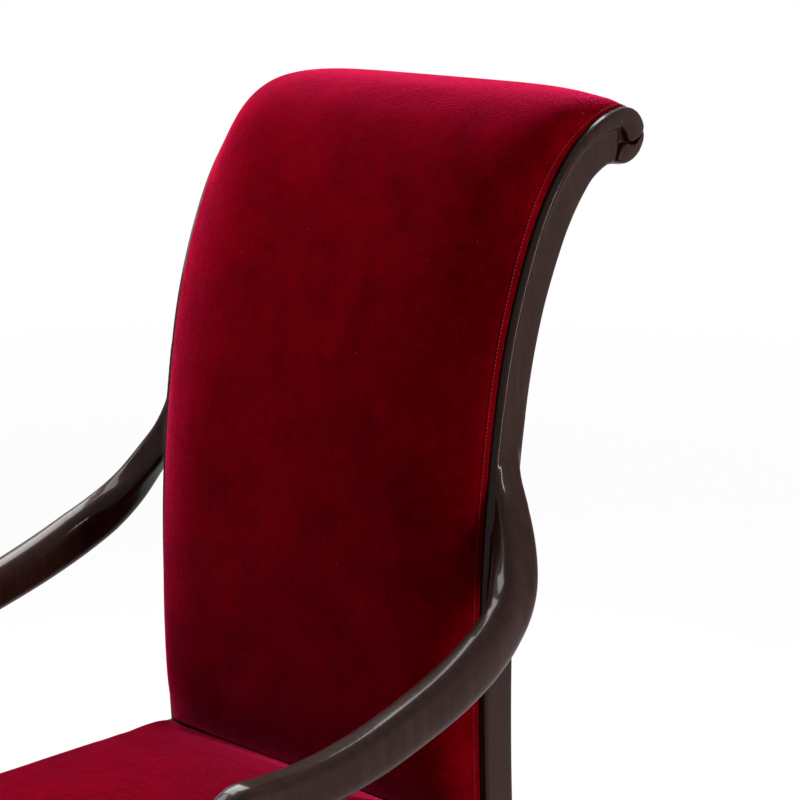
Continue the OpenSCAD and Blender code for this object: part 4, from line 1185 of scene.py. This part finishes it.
class ARMCHAIR_OT_seams(bpy.types.Operator):
    """Sews the stitches along the back's border and lays the welts of seat and outside back"""
    bl_idname = "armchair.seams"
    bl_label = "Seams"

    def execute(self, context):
        size = sizes()
        start, end = pad_span()
        stitches, welts = stitch_tree(), welt_tree()
        places = np.arange(start + 2, end - 2, 2.0)
        lines = [line_on_stile(x, places, lambda s: -side_height(s) - 0.15)
                 for x in (-SEAM_X - 0.2, SEAM_X + 0.2)]
        row = run_tree("border_stitches", lines, stitches, Material=MATERIALS["thread"],
                       Pitch=size.stitch_pitch, Stitch=size.stitch_length, Thread=0.0003)
        dress(row, "frame", "thread")
        rim = [(x - nx * 1.6, y - ny * 1.6, PAD_FLOOR_Z + 1.4) for x, y, nx, ny in skirt_path()]
        cover = MATERIALS["velvet"]
        cord = run_tree("seat_welt", [rim], welts, Material=cover, Radius=size.welt_radius)
        dress(cord, "seat", "velvet")
        edge = HALF_BACK - STILE_W - 3.4
        places = np.arange(s_at_z(PAD_BOTTOM) + 3, s_at_turn(THROAT - 6), 5.0)
        loop = line_on_stile(edge, places, lambda s: stile_depth(s) - 2.2)
        far = [(-x, y, z) for x, y, z in reversed(loop)]
        cord = run_tree("outside_welt", [loop + far], welts, Material=cover,
                        Radius=size.welt_radius * 0.8)
        dress(cord, "frame", "velvet")
        return {"FINISHED"}


# ---------------------------------------------------------------- fittings and inner frame
FINISHES = {
    "beech": ["crest_rail", "lumbar_rail", "back_bottom_rail", "seat_front_rail",
              "seat_rear_rail", *both("seat_rail")],
    # Blocks that show beside and under the seat are stained and polished like the show-wood
    "mahogany": ["corner_blocks", *both("pivot_block", "rest_packer")],
    "webbing": ["back_webbing", "seat_webbing"],
    "enamel": both("pivot_bracket", "seat_rest", "rear_foot_plate", "front_foot_plate"),
    "steel": [*both("pivot_pin"), "bracket_screws"],
    "bronze": both("pivot_bush"),
    "nylon": both("pivot_spacer"),
    "rubber": ["up_stop_buffers", "down_stop_buffers"],
    "plywood": ["seat_underboard"],
}


class ARMCHAIR_OT_fittings(bpy.types.Operator):
    """Finishes the inner frame, the tip-up hinge, the buffers and the floor plates"""
    bl_idname = "armchair.fittings"
    bl_label = "Fittings"

    def execute(self, context):
        for finish, names in FINISHES.items():
            for name in names:
                slots = NODES[name].material_slots
                if slots:
                    for slot in slots:
                        slot.material = MATERIALS[finish]
                else:
                    NODES[name].data.materials.append(MATERIALS[finish])
        return {"FINISHED"}


class ARMCHAIR_PT_panel(bpy.types.Panel):
    bl_label = "Armchair"
    bl_idname = "ARMCHAIR_PT_panel"
    bl_space_type = "VIEW_3D"
    bl_region_type = "UI"
    bl_category = "Armchair"

    def draw(self, context):
        column = self.layout.column()
        for name in sizes().bl_rna.properties.keys():
            if name not in ("rna_type", "name"):
                column.prop(context.scene.armchair_sizes, name)
        column.prop(context.scene.armchair_colours, "floor")
        for step in STEPS:
            column.operator(step.bl_idname)


STEPS = (ARMCHAIR_OT_stage, ARMCHAIR_OT_show_wood, ARMCHAIR_OT_base_wood, ARMCHAIR_OT_back_cushion,
         ARMCHAIR_OT_back_outside, ARMCHAIR_OT_seat_cushion, ARMCHAIR_OT_seat_band,
         ARMCHAIR_OT_seams, ARMCHAIR_OT_fittings)
CLASSES = (ArmchairSizes, ArmchairColours) + STEPS + (ARMCHAIR_PT_panel,)


def register():
    for item in CLASSES:
        bpy.utils.register_class(item)
    bpy.types.Scene.armchair_sizes = bpy.props.PointerProperty(type=ArmchairSizes)
    bpy.types.Scene.armchair_colours = bpy.props.PointerProperty(type=ArmchairColours)


def unregister():
    del bpy.types.Scene.armchair_colours
    del bpy.types.Scene.armchair_sizes
    for item in reversed(CLASSES):
        bpy.utils.unregister_class(item)


def main():
    register()
    for step in STEPS:
        group, name = step.bl_idname.split(".")
        getattr(getattr(bpy.ops, group), name)()


if __name__ == "__main__":
    main()
